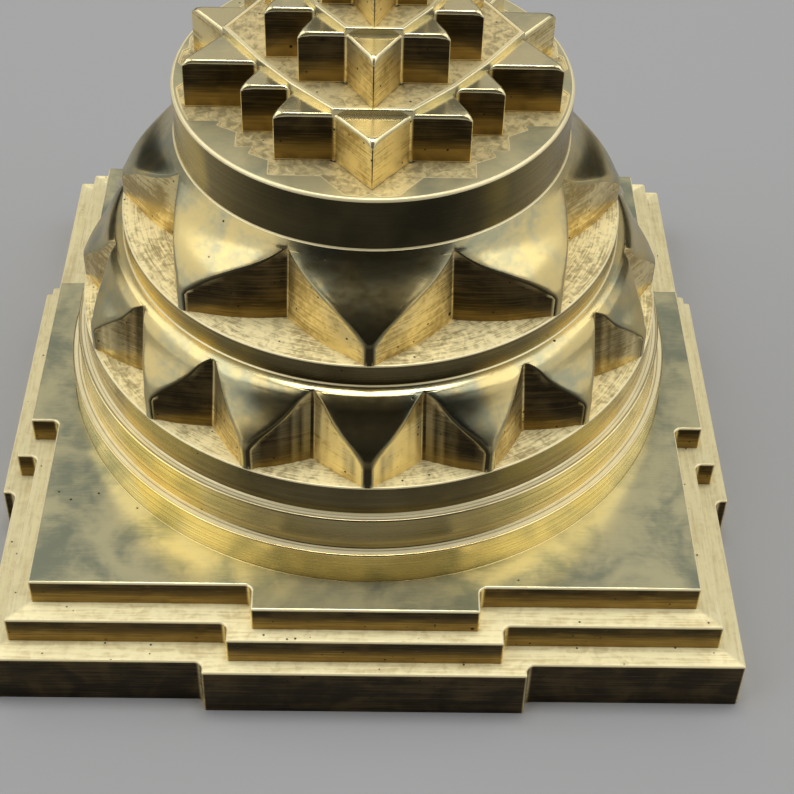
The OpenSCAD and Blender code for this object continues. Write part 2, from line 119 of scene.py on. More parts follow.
def softbox(name, place, width, height, glow):
    """A flat lamp of the given brightness that faces the object."""
    lamp = bpy.data.lights.new(name, "AREA")
    lamp.shape = "RECTANGLE"
    lamp.size = width
    lamp.size_y = height
    lamp.energy = glow * math.pi * width * height
    holder = bpy.data.objects.new(name, lamp)
    bpy.context.scene.collection.objects.link(holder)
    holder.location = place
    holder.rotation_euler = (AIM_AT - holder.location).to_track_quat("-Z", "Y").to_euler()


for side, sign, share in (("left", -1, 1.0), ("right", 1, 0.92)):
    softbox(side + "_high_softbox", (sign * 0.80, 0.05, 1.10), width=1.6, height=0.8, glow=1.8 * share)
    softbox(side + "_low_softbox", (sign * 1.20, -0.20, 0.46), width=1.8, height=0.9, glow=0.90 * share)
softbox("back_softbox", (0.0, 1.10, 0.95), width=1.8, height=0.9, glow=0.40)
softbox("top_lamp", (0.0, 0.10, 1.25), width=0.55, height=0.40, glow=9.5)
print("five softboxes and a lamp over a pale floor")

# %% [markdown]
# ## Writing finishes as sums
# A finish is a tree of shader nodes. Laying the tree out by hand hides what it works out, so a
# socket is wrapped in a small class that knows plus, minus, times and divide. A sum of sockets then
# reads like the sum it is, and each sign in it adds one Math node.

# %% Shader sums
class Wire:
    """One output socket of a finish, ready for sums."""

    def __init__(self, finish, socket):
        self.finish = finish
        self.socket = socket

    def maths(self, operation, *values):
        return self.finish.node("ShaderNodeMath", {"operation": operation}, dict(enumerate(values)))

    def __add__(self, other):
        return self.maths("ADD", self, other)

    def __radd__(self, other):
        return self.maths("ADD", other, self)

    def __sub__(self, other):
        return self.maths("SUBTRACT", self, other)

    def __rsub__(self, other):
        return self.maths("SUBTRACT", other, self)

    def __mul__(self, other):
        return self.maths("MULTIPLY", self, other)

    def __rmul__(self, other):
        return self.maths("MULTIPLY", other, self)

    def __truediv__(self, other):
        return self.maths("DIVIDE", self, other)

    def size(self):
        """The value without its sign."""
        return self.maths("ABSOLUTE", self)


CHOICE_STEP = 0.001
PORE_CORE = 0.5


class Finish:
    """A metal surface whose colour, roughness and bumps come from nodes."""

    def __init__(self, name):
        self.material = bpy.data.materials.new(name)
        self.material.use_nodes = True
        self.tree = self.material.node_tree
        self.shader = self.tree.nodes["Principled BSDF"]
        place = self.node("ShaderNodeTexCoord", out="Object")
        self.place = self.node("ShaderNodeVectorMath", {"operation": "SCALE"}, {0: place, "Scale": 1 / MM})

    def node(self, kind, settings=None, sockets=None, out=0):
        """Adds any node: its settings are made first, then its sockets are set or linked."""
        made = self.tree.nodes.new(kind)
        for key, value in (settings or {}).items():
            setattr(made, key, value)
        for key, value in (sockets or {}).items():
            self.plug(made.inputs[key], value)
        return Wire(self, made.outputs[out])

    def plug(self, socket, value):
        """Links a wire to a socket, or sets the socket to a plain value."""
        if isinstance(value, Wire):
            self.tree.links.new(value.socket, socket)
        else:
            socket.default_value = value

    def stretched(self, factors):
        """Places in millimetres, with each axis scaled to draw a pattern out along the others."""
        return self.node("ShaderNodeVectorMath", {"operation": "MULTIPLY"}, {0: self.place, 1: factors})

    def from_axis(self):
        """Distance from the upright axis, in millimetres."""
        flat = self.stretched((1, 1, 0))
        return self.node("ShaderNodeVectorMath", {"operation": "LENGTH"}, {0: flat}, out="Value")

    def axis(self, name):
        """One coordinate in millimetres."""
        return self.node("ShaderNodeSeparateXYZ", sockets={0: self.place}, out=name)

    def clouds(self, scale, detail=3.0, stretch=(1, 1, 1), warp=0.0):
        """Soft noise from 0 to 1, with patches about 1 / scale millimetres across."""
        sockets = {"Vector": self.stretched(stretch), "Scale": scale, "Detail": detail, "Distortion": warp}
        return self.node("ShaderNodeTexNoise", sockets=sockets)

    def lines(self, along, scale):
        """Noise that changes along one value only, as turning marks do."""
        sockets = {"W": along, "Scale": scale, "Detail": 2.0}
        return self.node("ShaderNodeTexNoise", {"noise_dimensions": "1D"}, sockets)

    def strokes(self, along, across):
        """Noise drawn out along circles round the axis, as strokes of a tool or a buff."""
        y = self.axis("Y")
        angle = y.maths("ARCTAN2", y, self.axis("X"))
        sockets = {"X": angle * along, "Y": self.from_axis() * across, "Z": self.axis("Z")}
        place = self.node("ShaderNodeCombineXYZ", sockets=sockets)
        return self.node("ShaderNodeTexNoise", sockets={"Vector": place, "Scale": 1.0, "Detail": 3.0})

    def ramp(self, value, low, high):
        """0 below low, 1 above high and smooth between."""
        sockets = {"Value": value, "From Min": low, "From Max": high}
        return self.node("ShaderNodeMapRange", {"interpolation_type": "SMOOTHSTEP"}, sockets)

    def mix(self, share, first, second):
        """A colour between two colours."""
        return self.node("ShaderNodeMix", {"data_type": "RGBA"}, {0: share, 6: first, 7: second}, out=2)

    def facing(self, low, high):
        """1 on the front and back of a round wall and 0 on its flanks."""
        return self.ramp((self.axis("Y") / self.from_axis()).size(), low, high)

    def stored(self, name):
        """A value that was stored on the piece."""
        return self.node("ShaderNodeAttribute", {"attribute_name": name}, out="Fac")

    def cells(self, scale, out):
        """Cells about 1 / scale millimetres across: the distance from a cell's point, or its colour."""
        return self.node("ShaderNodeTexVoronoi", sockets={"Vector": self.place, "Scale": scale}, out=out)

    def pores(self, scale, share, size):
        """1 inside small casting pores, in the given share of cells."""
        colour, distance = (self.cells(scale, out) for out in ("Color", "Distance"))
        red = self.node("ShaderNodeSeparateColor", sockets={0: colour}, out="Red")
        chosen = self.ramp(red, 1 - share, 1 - share + CHOICE_STEP)
        return chosen * (1 - self.ramp(distance, size * PORE_CORE, size))

    def dress(self, colour, roughness, bump, depth_mm, strength, metallic=1.0):
        """Feeds the metal shader."""
        self.shader.inputs["Metallic"].default_value = metallic
        self.plug(self.shader.inputs["Base Color"], colour)
        self.plug(self.shader.inputs["Roughness"], roughness)
        sockets = {"Height": bump, "Distance": depth_mm * MM, "Strength": strength}
        self.plug(self.shader.inputs["Normal"], self.node("ShaderNodeBump", sockets=sockets))
        return self.material


print("sockets can be added, taken away, multiplied and divided")

# %% [markdown]
# ## Cut walls
# All the brass is one alloy, but each tool left its own skin. An image laid over the shape would
# freeze its light into the metal, so every finish is grown from noise in millimetres instead. Upright
# walls that no buffing wheel reached are gold on the flanks. On the front and back they get a brown and
# streaky painted shade, and at their feet a painted amber reflection of the ledge below. Two values stored
# on each piece steer this: its painted shade, which says how far a wall looks to the front or back, and
# the height over its foot.

# %% Cut walls
PORE_BROWN = (0.04, 0.028, 0.015, 1)
# The dark and brown wall colours are painted shade, and the amber one a painted reflection of the bright
# ledge below
PAINTED_SHADE_DARK = (0.028, 0.021, 0.010, 1)
PAINTED_SHADE_BROWN = (0.098, 0.066, 0.026, 1)
PAINTED_AMBER_REFLECTION = (0.46, 0.31, 0.10, 1)
OCHRE_WALL = (0.52, 0.38, 0.14, 1)
GOLD_WALL = (0.97, 0.80, 0.40, 1)
PAINTED_AMBER_FULL_MM, PAINTED_AMBER_GONE_MM = 0.8, 3.6

walls = Finish("cut_wall")
streaks = walls.clouds(0.5, stretch=(0.25, 0.25, 8))
patches = walls.clouds(0.22, warp=0.6)
regions = walls.clouds(0.10, detail=2.0, warp=0.8)
grain = walls.clouds(1.6, detail=4.0)
pores = walls.pores(1.1, share=0.12, size=0.22) + walls.pores(0.5, share=0.07, size=0.17)
dark = walls.mix(walls.ramp(0.5 * streaks + 0.5 * patches, 0.40, 0.66), PAINTED_SHADE_DARK, PAINTED_SHADE_BROWN)
# Painted amber reflection: full near a wall's foot, gone higher up, with a ragged edge
ragged_height = walls.stored("up") + 3.4 * (streaks - 0.5) + 3.0 * (patches - 0.5)
painted_amber_share = 1 - walls.ramp(ragged_height, PAINTED_AMBER_FULL_MM, PAINTED_AMBER_GONE_MM)
brown = walls.mix(painted_amber_share * (0.25 + 0.8 * patches), dark, PAINTED_AMBER_REFLECTION)
gold_share = walls.ramp(0.5 * regions + 0.3 * streaks + 0.2 * grain, 0.40, 0.55)
gold = walls.mix(gold_share, OCHRE_WALL, GOLD_WALL)
# The stored painted shade swaps the gold of the flanks for the painted brown
colour = walls.mix(pores, walls.mix(walls.stored("painted_shade"), gold, brown), PORE_BROWN)
roughness = 0.18 + 0.16 * streaks + 0.12 * grain + 0.3 * pores
bump = streaks + 0.6 * grain - 2.0 * pores
cut_wall = walls.dress(colour, roughness, bump, depth_mm=0.03, strength=0.45)
print("finish:", cut_wall.name)

# %% [markdown]
# ## Milled floors
# The floors between the petals and round the stars show short strokes round the axis over a mottle. A
# bump alone would hardly show on so small a part, so the same noise sets colour and roughness too. Such
# a floor scatters light more than it mirrors, which a low Metallic gives.

# %% Milled floors
def floor_finish(name, bright, dull, stroke, metallic):
    """A milled floor, with the given share of strokes in its pattern."""
    metal = Finish(name)
    strokes = metal.strokes(along=11, across=5.5)
    mottle = metal.clouds(1.0, detail=5.0, warp=0.8)
    regions = metal.clouds(0.16, detail=2.0)
    pores = metal.pores(0.9, share=0.10, size=0.18)
    share = metal.ramp(stroke * strokes + (0.75 - stroke) * mottle + 0.25 * regions, 0.36, 0.58)
    colour = metal.mix(pores, metal.mix(share, dull, bright), PORE_BROWN)
    roughness = 0.46 - 0.16 * strokes + 0.2 * pores
    bump = strokes + 0.6 * mottle - 2.0 * pores
    return metal.dress(colour, roughness, bump, depth_mm=0.05, strength=0.6, metallic=metallic)


milled_floor = floor_finish(
    "milled_floor", bright=(1.0, 0.86, 0.46, 1), dull=(0.37, 0.29, 0.125, 1), stroke=0.35, metallic=0.08)
star_floor = floor_finish(
    "star_floor", bright=(0.80, 0.66, 0.33, 1), dull=(0.38, 0.31, 0.15, 1), stroke=0.15, metallic=0.35)
print("finishes:", milled_floor.name, star_floor.name)

# %% [markdown]
# ## Edge lines
# Buffing rounds an edge and leaves a bright line along it. The rounded edges are in the meshes, and a
# pale, partly diffuse finish of their own is a painted highlight that keeps the line bright from every side.

# %% Edge lines
edges = Finish("buffed_edge_painted_highlight")
wear = edges.clouds(0.8, detail=4.0)
# Pale colours, partly diffuse, for a painted highlight along the buffed edges
edge_colour = edges.mix(wear, (1.0, 0.90, 0.56, 1), (0.86, 0.72, 0.38, 1))
buffed_edge_painted_highlight = edges.dress(edge_colour, 0.24 + 0.16 * wear, wear, depth_mm=0.02, strength=0.3, metallic=0.3)
print("finish:", buffed_edge_painted_highlight.name)

# %% [markdown]
# ## Milled ledges
# The ledges of the plates were milled along their length, so the streaks turn by a quarter from one side
# of the square to the next. Two stretched noises are mixed by the side that a place lies on, and the
# ledges on the left and right get a duller colour, which is a painted shade.

# %% Milled ledges
PAINTED_SHADE_SIDE_LEDGE = (0.42, 0.38, 0.22, 1)
BRIGHT_LEDGE = (1.0, 0.89, 0.51, 1)
DULL_LEDGE = (0.72, 0.59, 0.29, 1)

plates = Finish("milled_ledge")
beside = plates.ramp(plates.axis("X").size() - plates.axis("Y").size(), -0.5, 0.5)
along_x = plates.clouds(0.8, detail=4.0, stretch=(0.18, 3.0, 1))
along_y = plates.clouds(0.8, detail=4.0, stretch=(3.0, 0.18, 1))
streaks = along_x + beside * (along_y - along_x)
mottle = plates.clouds(0.7, detail=5.0, warp=0.7)
pores = plates.pores(1.0, share=0.10, size=0.20)
share = plates.ramp(0.6 * streaks + 0.4 * mottle, 0.34, 0.58)
# The left and right ledges are mixed towards a painted shade
colour = plates.mix(0.5 * beside, plates.mix(share, DULL_LEDGE, BRIGHT_LEDGE), PAINTED_SHADE_SIDE_LEDGE)
colour = plates.mix(pores, colour, PORE_BROWN)
roughness = 0.50 - 0.20 * streaks + 0.2 * pores
bump = streaks + 0.5 * mottle - 2.0 * pores
milled_ledge = plates.dress(colour, roughness, bump, depth_mm=0.05, strength=0.5, metallic=0.05)
print("finish:", milled_ledge.name)

# %% [markdown]
# ## Buffed brass
# The petals' skirts, the tops of the stars, the upper plate and the lands on the drum were buffed, which
# left clouds of grey-green tarnish and hair scratches. One function makes all four, because only their
# colours, the run of the scratches and the gloss differ.

# %% Buffed brass
def buffed_finish(name, bright, tarnish, grain, smoothest, metallic=1.0, painted_front_tone=None):
    """Polished brass under tarnish clouds, with hair scratches, and with a painted shade where its faces look
    to the front or back.
    """
    metal = Finish(name)
    clouds = metal.clouds(0.11, detail=4.0, warp=0.7)
    film = metal.clouds(0.40, detail=6.0, warp=1.2)
    scratches = metal.clouds(0.9, detail=5.0, stretch=grain)
    pores = metal.pores(0.55, share=0.07, size=0.13)
    share = metal.ramp(0.8 * clouds + 0.2 * film + 0.15 * scratches, 0.46, 0.74)
    colour = metal.mix(share, bright, tarnish)
    if painted_front_tone:
        colour = metal.mix(metal.stored("painted_shade"), colour, painted_front_tone)
    colour = metal.mix(pores, colour, PORE_BROWN)
    roughness = smoothest + 0.08 * film + 0.12 * scratches + 0.2 * pores
    bump = scratches + 0.2 * film - 1.5 * pores
    return metal.dress(colour, roughness, bump, depth_mm=0.02, strength=0.4, metallic=metallic)


# NOSE_SHADE is a painted shade on the skirts' noses and on other faces that look to the front or back
NOSE_SHADE = (0.055, 0.042, 0.02, 1)
skirt_face = buffed_finish(
    "skirt_face", bright=(0.69, 0.55, 0.24, 1), tarnish=(0.40, 0.40, 0.26, 1),
    grain=(0.8, 0.8, 2.0), smoothest=0.13, painted_front_tone=NOSE_SHADE)
star_top = buffed_finish(
    "star_top", bright=(0.84, 0.72, 0.40, 1), tarnish=(0.60, 0.55, 0.33, 1),
    grain=(0.25, 4.0, 0.4), smoothest=0.12, metallic=0.85)
plate_face = buffed_finish(
    "plate_face", bright=(0.65, 0.595, 0.345, 1), tarnish=(0.30, 0.315, 0.215, 1),
    grain=(0.5, 4.0, 1.0), smoothest=0.11, metallic=0.68)
drum_land = buffed_finish(
    "drum_land", bright=(0.66, 0.58, 0.32, 1), tarnish=(0.44, 0.42, 0.26, 1),
    grain=(0.7, 3.0, 1.0), smoothest=0.26, metallic=0.62)
print("finishes:", skirt_face.name, star_top.name, plate_face.name, drum_land.name)

# %% [markdown]
# ## Turned brass
# Rings, rims and the drum came off a lathe and carry fine circles. Noise along one value, the radius
# plus the height, follows the cut on walls and tops alike. The front and back get a painted tone of their
# own:
# a painted bright reflection on the outer ring, and a painted shade on the middle ring, the rims and the
# drum.

# %% Turned brass
YELLOW_BRASS = (0.95, 0.70, 0.16, 1)
GROOVE_BROWN = (0.30, 0.23, 0.09, 1)
SHADE_FULL = 0.97


def turned_finish(name, bright, dull, painted_front_tone, groove, flank):
    """Turned brass with grooves of the given depth, and a painted tone on the front and back that starts
    where the flank ends.
    """
    metal = Finish(name)
    along = metal.from_axis() + metal.axis("Z")
    wide = metal.lines(along, 1.3)
    fine = metal.lines(along, 9.0)
    grooves = metal.ramp(metal.lines(along, 3.2), 0.57, 0.61)
    clouds = metal.clouds(0.10)
    glow = metal.ramp(metal.clouds(0.06, detail=2.0), 0.56, 0.66)
    pores = metal.pores(0.6, share=0.05, size=0.13)
    share = metal.ramp(0.6 * wide + 0.4 * clouds, 0.35, 0.65)
    brass = metal.mix(glow * 0.6, metal.mix(share, dull, bright), YELLOW_BRASS)
    brass = metal.mix(grooves * groove, brass, GROOVE_BROWN)
    # The front and back get the painted tone: painted shade on the middle ring, rims and drum, a painted
    # bright reflection on the outer ring
    colour = metal.mix(metal.facing(flank, SHADE_FULL) * (0.7 + 0.5 * clouds), brass, painted_front_tone)
    colour = metal.mix(pores, colour, PORE_BROWN)
    roughness = 0.16 + 0.12 * fine + 0.08 * clouds + 0.2 * pores
    bump = 0.6 * fine + 0.4 * wide - groove * grooves - 1.5 * pores
    return metal.dress(colour, roughness, bump, depth_mm=0.02, strength=0.6)


RING_BRASS = {"bright": (0.97, 0.82, 0.42, 1), "dull": (0.76, 0.62, 0.28, 1), "groove": 0.85, "flank": 0.75}
# The outer ring's front tone is a painted bright reflection, the middle ring's a painted shade
outer_ring = turned_finish("outer_ring", painted_front_tone=(0.98, 0.76, 0.30, 1), **RING_BRASS)
middle_ring = turned_finish("middle_ring", painted_front_tone=(0.34, 0.28, 0.135, 1), **RING_BRASS)
# Rims and drum get a painted shade on the front and back
rim_wall = turned_finish(
    "rim_wall", bright=(0.78, 0.62, 0.27, 1), dull=(0.46, 0.36, 0.16, 1),
    painted_front_tone=(0.10, 0.08, 0.038, 1), groove=0.4, flank=0.55)
drum_wall = turned_finish(
    "drum_wall", bright=(0.40, 0.31, 0.12, 1), dull=(0.32, 0.25, 0.10, 1),
    painted_front_tone=(0.034, 0.030, 0.016, 1), groove=0.2, flank=0.55)
print("finishes:", outer_ring.name, middle_ring.name, rim_wall.name, drum_wall.name)

# %% [markdown]
# ## Turned ledges
# The level tops of the rings are narrow and catch the lamp, so they are paler than the walls, with brown
# circles where the tool bit deeper.

# %% Turned ledges
ledges = Finish("ring_ledge")
circles_cut = ledges.lines(ledges.from_axis(), 3.5)
wear = ledges.clouds(0.5, detail=4.0)
ledge_colour = ledges.mix(wear, (1.0, 0.92, 0.62, 1), (0.84, 0.72, 0.42, 1))
ledge_colour = ledges.mix(0.8 * ledges.ramp(circles_cut, 0.50, 0.58), ledge_colour, GROOVE_BROWN)
ring_ledge = ledges.dress(
    ledge_colour, 0.25 + 0.15 * wear, circles_cut, depth_mm=0.03, strength=0.5, metallic=0.25)
print("finish:", ring_ledge.name)

# %% [markdown]
# ## Steel
# Rod, washer, nut and dowels hold the stack together inside. Their CAD shapes are right as they are, so
# they stay and only get a grained steel.

# %% Steel
steel = Finish("plain_steel")
steel_grain = steel.clouds(0.8, detail=4.0, stretch=(1, 1, 6))
steel_colour = steel.mix(steel_grain, (0.42, 0.42, 0.43, 1), (0.64, 0.64, 0.66, 1))
steel.dress(steel_colour, 0.28 + 0.2 * steel_grain, steel_grain, depth_mm=0.02, strength=0.4)
HIDDEN_STEEL = [
    "tie_rod", "tie_washer", "tie_nut", "base_dowels", "petal_dowels", "drum_dowels", "star_dowels",
]
for name in HIDDEN_STEEL:
    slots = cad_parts[name].data.materials
    slots.clear()
    slots.append(steel.material)
print("steel fastenings:", len(HIDDEN_STEEL))

# %% [markdown]
# ## Square base plates
# Each plate is a slab with a gate block in the middle of every side. The CAD solid has the right
# outline and holes, only its edges are knife sharp, and no buffed edge is. A copy of it is merged,
# its triangles are dissolved into clean faces, and the upper edges and outer corners are bevelled.

# %% Select and edit
MERGE_WITHIN = 1e-6
SMOOTH_BELOW = math.radians(40)
BEVEL_STEPS = 4
ROUND_PROFILE = 0.5


def deselect():
    bpy.ops.object.select_all(action="DESELECT")


def make_active(piece):
    deselect()
    piece.select_set(True)
    bpy.context.view_layer.objects.active = piece


def edit(piece):
    """Edit mode on one piece with all of it selected."""
    make_active(piece)
    bpy.ops.object.mode_set(mode="EDIT")
    bpy.ops.mesh.select_all(action="SELECT")


def leave_edit():
    bpy.ops.object.mode_set(mode="OBJECT")


def bevel_picked(width_mm):
    """Rounds the selected edges of the active piece."""
    bpy.ops.object.mode_set(mode="EDIT")
    bpy.ops.mesh.bevel(offset=width_mm * MM, segments=BEVEL_STEPS, profile=ROUND_PROFILE, affect="EDGES")
    leave_edit()


def clean(piece):
    """Merges doubles, turns the faces outwards and shades round edges as round."""
    edit(piece)
    bpy.ops.mesh.remove_doubles(threshold=MERGE_WITHIN)
    bpy.ops.mesh.normals_make_consistent(inside=False)
    leave_edit()
    bpy.ops.object.shade_smooth_by_angle(angle=SMOOTH_BELOW)
    weighted = piece.modifiers.new("weighted", "WEIGHTED_NORMAL")
    weighted.keep_sharp = True
    bpy.ops.object.modifier_apply(modifier=weighted.name)


print("points closer than", round(MERGE_WITHIN / MM, 6), "mm are merged")

# %% Finish a piece and hand it over
FLAT = 0.9
PAINTED_SHADE_FROM, PAINTED_SHADE_TO = 0.80, 0.96


def finish_by_slope(piece, finishes, limits):
    """Gives each face one of the finishes: the more limits its normal's rise passes, the later one."""
    piece.data.materials.clear()
    for finish in finishes:
        piece.data.materials.append(finish)
    for face in piece.data.polygons:
        face.material_index = sum(face.normal.z > limit for limit in limits)


def store_marks(piece, foot):
    """Stores on each corner point its height over a foot in millimetres, and its painted shade: how far the
    upright faces round it look straight to the front or the back."""
    mesh = piece.data
    total, count, level = (np.zeros(len(mesh.vertices)) for _ in range(3))
    for face in mesh.polygons:
        if abs(face.normal.z) < FLAT:
            corners = list(face.vertices)
            total[corners] += abs(face.normal.y)
            count[corners] += 1
    for vertex in mesh.vertices:
        level[vertex.index] = vertex.co.z / MM - foot
    painted_shade = np.clip((total / np.maximum(count, 1) - PAINTED_SHADE_FROM) / (PAINTED_SHADE_TO - PAINTED_SHADE_FROM), 0, 1)
    for name, values in (("painted_shade", painted_shade), ("up", level)):
        mesh.attributes.new(name, "FLOAT", "POINT").data.foreach_set("value", values)


def hand_over(piece, node):
    """The piece stands for a CAD node: it takes the node's name, hangs under the root and hides the node."""
    piece.name = node + "_finished"
    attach(piece, "root")
    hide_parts(node)
    print(piece.name, "faces:", len(piece.data.polygons))


# %% Bevel a plate
PLATE_EDGE = 0.35
CORNER_ANGLE = math.radians(60)
DISSOLVE_BELOW = math.radians(0.5)
OUTSIDE_HOLES_R = 30
UPRIGHT = 0.1


def edge_faces(mesh):
    """The faces on each side of every edge."""
    beside = {tuple(sorted(edge.vertices)): [] for edge in mesh.edges}
    for face in mesh.polygons:
        for key in face.edge_keys:
            beside[tuple(sorted(key))].append(face)
    return beside


def pick_plate_edges(mesh, top):
    """Selects the upper outline and the outer upright corners."""
    beside = edge_faces(mesh)
    for edge in mesh.edges:
        a, b = (mesh.vertices[i].co for i in edge.vertices)
        faces = beside[tuple(sorted(edge.vertices))]
        edge.select = False
        if len(faces) != 2 or math.hypot(a.x, a.y) < OUTSIDE_HOLES_R * MM:
            continue
        upright_faces = [face for face in faces if abs(face.normal.z) < UPRIGHT]
        if min(a.z, b.z) > top - MERGE_WITHIN:
            edge.select = len(upright_faces) == 1
        elif abs(a.z - b.z) > MERGE_WITHIN and len(upright_faces) == 2:
            away = faces[1].center - faces[0].center
            convex = faces[0].normal.dot(away) < 0
            edge.select = convex and faces[0].normal.angle(faces[1].normal) > CORNER_ANGLE


def bevelled_plate(node):
    """A copy of a CAD plate with rounded edges."""
    plate = bpy.data.objects.new(node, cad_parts[node].data.copy())
    bpy.context.scene.collection.objects.link(plate)
    edit(plate)
    bpy.ops.mesh.remove_doubles(threshold=MERGE_WITHIN)
    bpy.ops.mesh.dissolve_limited(angle_limit=DISSOLVE_BELOW)
    bpy.ops.mesh.select_mode(type="EDGE")
    bpy.ops.mesh.select_all(action="DESELECT")
    leave_edit()
    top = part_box(node)[1][2]
    pick_plate_edges(plate.data, top)
    bevel_picked(PLATE_EDGE)
    clean(plate)
    return plate


# %% Build the plates
# Each plate's top finish, and the height its painted amber reflection is measured from, which leaves the
# lower plate none
EDGE_FROM = 0.4
PLATES = {
    "base_plate_lower": (milled_ledge, -5),
    "base_plate_middle": (milled_ledge, 7.4),
    "base_plate_upper": (plate_face, 11.6),
}
for node, (top_finish, painted_amber_foot) in PLATES.items():
    plate = bevelled_plate(node)
    finish_by_slope(plate, (cut_wall, buffed_edge_painted_highlight, top_finish), (EDGE_FROM, FLAT))
    store_marks(plate, painted_amber_foot)
    hand_over(plate, node)

# %% [markdown]
# ## Turned rings
# The rings were turned on a lathe, and a spin is the lathe of a modeller: half of the section is drawn
# once, with its rounded edge, and carried round the axis. A bevelled cylinder would do as well, but a
# section also gives the foot its small cove and the bore its place.

# %% Turn a section
SPIN_STEPS = 288
EDGE_STEPS = 5


def quarter(centre_r, centre_z, radius, start, end, steps=EDGE_STEPS):
    """Points of an arc in a section, from one angle to another in degrees."""
    angles = np.radians(np.linspace(start, end, steps + 1))
    return [(centre_r + radius * math.cos(a), centre_z + radius * math.sin(a)) for a in angles]


def turn_section(section):
    """Spins a closed section of (radius, height) points in millimetres."""
    deselect()
    bpy.ops.mesh.primitive_circle_add(vertices=len(section))
    piece = bpy.context.object
    for vertex, (r, z) in zip(piece.data.vertices, section):
        vertex.co = (r * MM, 0, z * MM)
    edit(piece)
    bpy.ops.mesh.spin(steps=SPIN_STEPS, angle=math.tau, center=(0, 0, 0), axis=(0, 0, 1))
    leave_edit()
    clean(piece)
    return piece


# %% Build the rings
# The cove's points lie inwards and up, as shares of its depth
RING_EDGE = 0.25
RING_FOOT = 0.12
RING_COVE = ((0, 0), (0.7, 0.5), (1, 1.6))
HUB_BORE_R = 30.05
RINGS = {
    "circle_ring_outer": (43.1, 16.4, 21.5, outer_ring),
    "circle_ring_middle": (41.75, 21.5, 26.7, middle_ring),
}


def round_wall(r, low, high):
    """Outer side of a ring: a small cove at its foot and a rounded upper edge."""
    cove = [(r - RING_FOOT * inward, low + RING_FOOT * rise) for inward, rise in RING_COVE]
    wall_r = r - RING_FOOT
    middle = [(wall_r, (low + high) / 2)]
    return cove + middle + quarter(wall_r - RING_EDGE, high - RING_EDGE, RING_EDGE, 0, 90)


for node, (r, low, high, wall_finish) in RINGS.items():
    ring = turn_section([(HUB_BORE_R, low)] + round_wall(r, low, high) + [(HUB_BORE_R, high)])
    finish_by_slope(ring, (wall_finish, ring_ledge), (FLAT,))
    hand_over(ring, node)

# %% [markdown]
# ## Petal tiers
# A petal tier is a turned skirt above a plain rim. It starts with an upright nose, flush with the rim,
# and goes on as a slope, which rolls over into a shoulder on the sixteen petals. A cutter then sank
# notches between the petals down to the rim, and the notches' ends lean in towards the top. Cutting them
# with a Boolean leaves ragged triangles that show in a mirror finish. So half of one petal is laid out
# as grids that follow its own lines, with the edge already rounded, then mirrored, copied round the tier
# and welded.

# %% Lay out a grid
def patch(points, finish):
    """A grid whose vertices are moved to the given rows of places in millimetres."""
    rows, columns = points.shape[:2]
    deselect()
    bpy.ops.mesh.primitive_grid_add(x_subdivisions=columns - 1, y_subdivisions=rows - 1)
    grid = bpy.context.object
    grid.data.vertices.foreach_set("co", (points * MM).reshape(-1))
    grid.data.materials.append(finish)
    return grid


def join(parts):
    """One piece from several."""
    deselect()
    for part in parts:
        part.select_set(True)
    bpy.context.view_layer.objects.active = parts[0]
    bpy.ops.object.join()
    return parts[0]


def moved_copy(piece, matrix):
    """A copy with its own mesh, moved in its mesh."""
    copy = bpy.data.objects.new(piece.name, piece.data.copy())
    copy.data.transform(matrix)
    bpy.context.scene.collection.objects.link(copy)
    return copy


def polar(r, angle, z):
    """Places from radii, angles off the front in radians, and heights."""
    r, angle, z = np.broadcast_arrays(r, angle, z)
    return np.stack([r * np.sin(angle), -r * np.cos(angle), z], axis=-1)


# %% Round a corner
ARC_HALF = 4


def norm(vector):
    return math.sqrt(float(np.dot(vector, vector)))


def unit(vector):
    return vector / norm(vector)


def arc(centre, radius, start, end, steps):
    """Points of the shorter arc round a centre between the directions of two points."""
    first = math.atan2(*(start - centre)[::-1])
    sweep = (math.atan2(*(end - centre)[::-1]) - first + math.pi) % math.tau - math.pi
    turns = first + sweep * np.arange(steps + 1) / steps
    return centre + radius * np.stack([np.cos(turns), np.sin(turns)], axis=-1)


def corner_arc(corner, a, b, radius):
    """Points of the arc that rounds a corner between its arms towards a and b."""
    to_a, to_b = unit(a - corner), unit(b - corner)
    half = math.acos(float(to_a @ to_b)) / 2
    start, end = (corner + arm * radius / math.tan(half) for arm in (to_a, to_b))
    centre = corner + unit(to_a + to_b) * radius / math.sin(half)
    return arc(centre, radius, start, end, 2 * ARC_HALF)


# %% Outline of a notch
TIP_LAND = 0.45
NOTCH_ROUND = 0.5
WEB_STEPS = 8
SIDE_SAMPLES = 200


def notch_side(half_angle, skirt_r, notch_r, side_r):
    """Plan points from the tip of a petal along its side, and on round the end of the notch."""
    tip = np.array([0, -skirt_r - TIP_LAND])
    middle = np.array([math.sin(half_angle), -math.cos(half_angle)])
    chord = notch_r * middle - tip
    bow = math.sqrt(side_r ** 2 - norm(chord) ** 2 / 4)
    side_c = tip + chord / 2 + np.array([-chord[1], chord[0]]) / norm(chord) * bow
    along = float(middle @ side_c)
    reach = side_r + NOTCH_ROUND
    web_c = (along + math.sqrt(along ** 2 - norm(side_c) ** 2 + reach ** 2)) * middle
    touch = side_c + (web_c - side_c) * side_r / reach
    side = arc(side_c, side_r, tip, touch, SIDE_SAMPLES)
    return side, arc(web_c, NOTCH_ROUND, touch, web_c - middle, WEB_STEPS)[1:]


# %% Rows of a skirt
WEB_EDGE = 0.28
SKIRT_ROWS = 20
CROWN_ROWS = 6
INNER_STEPS = np.array([0.12, 0.35, 0.65, 1.0, 1.6])


def edge_drop(distance, radius):
    """How far a rounded edge lies below the surface at a distance from the edge."""
    inside = np.clip(radius - distance, 0, radius)
    return radius - np.sqrt(np.maximum(radius ** 2 - inside ** 2, 0))


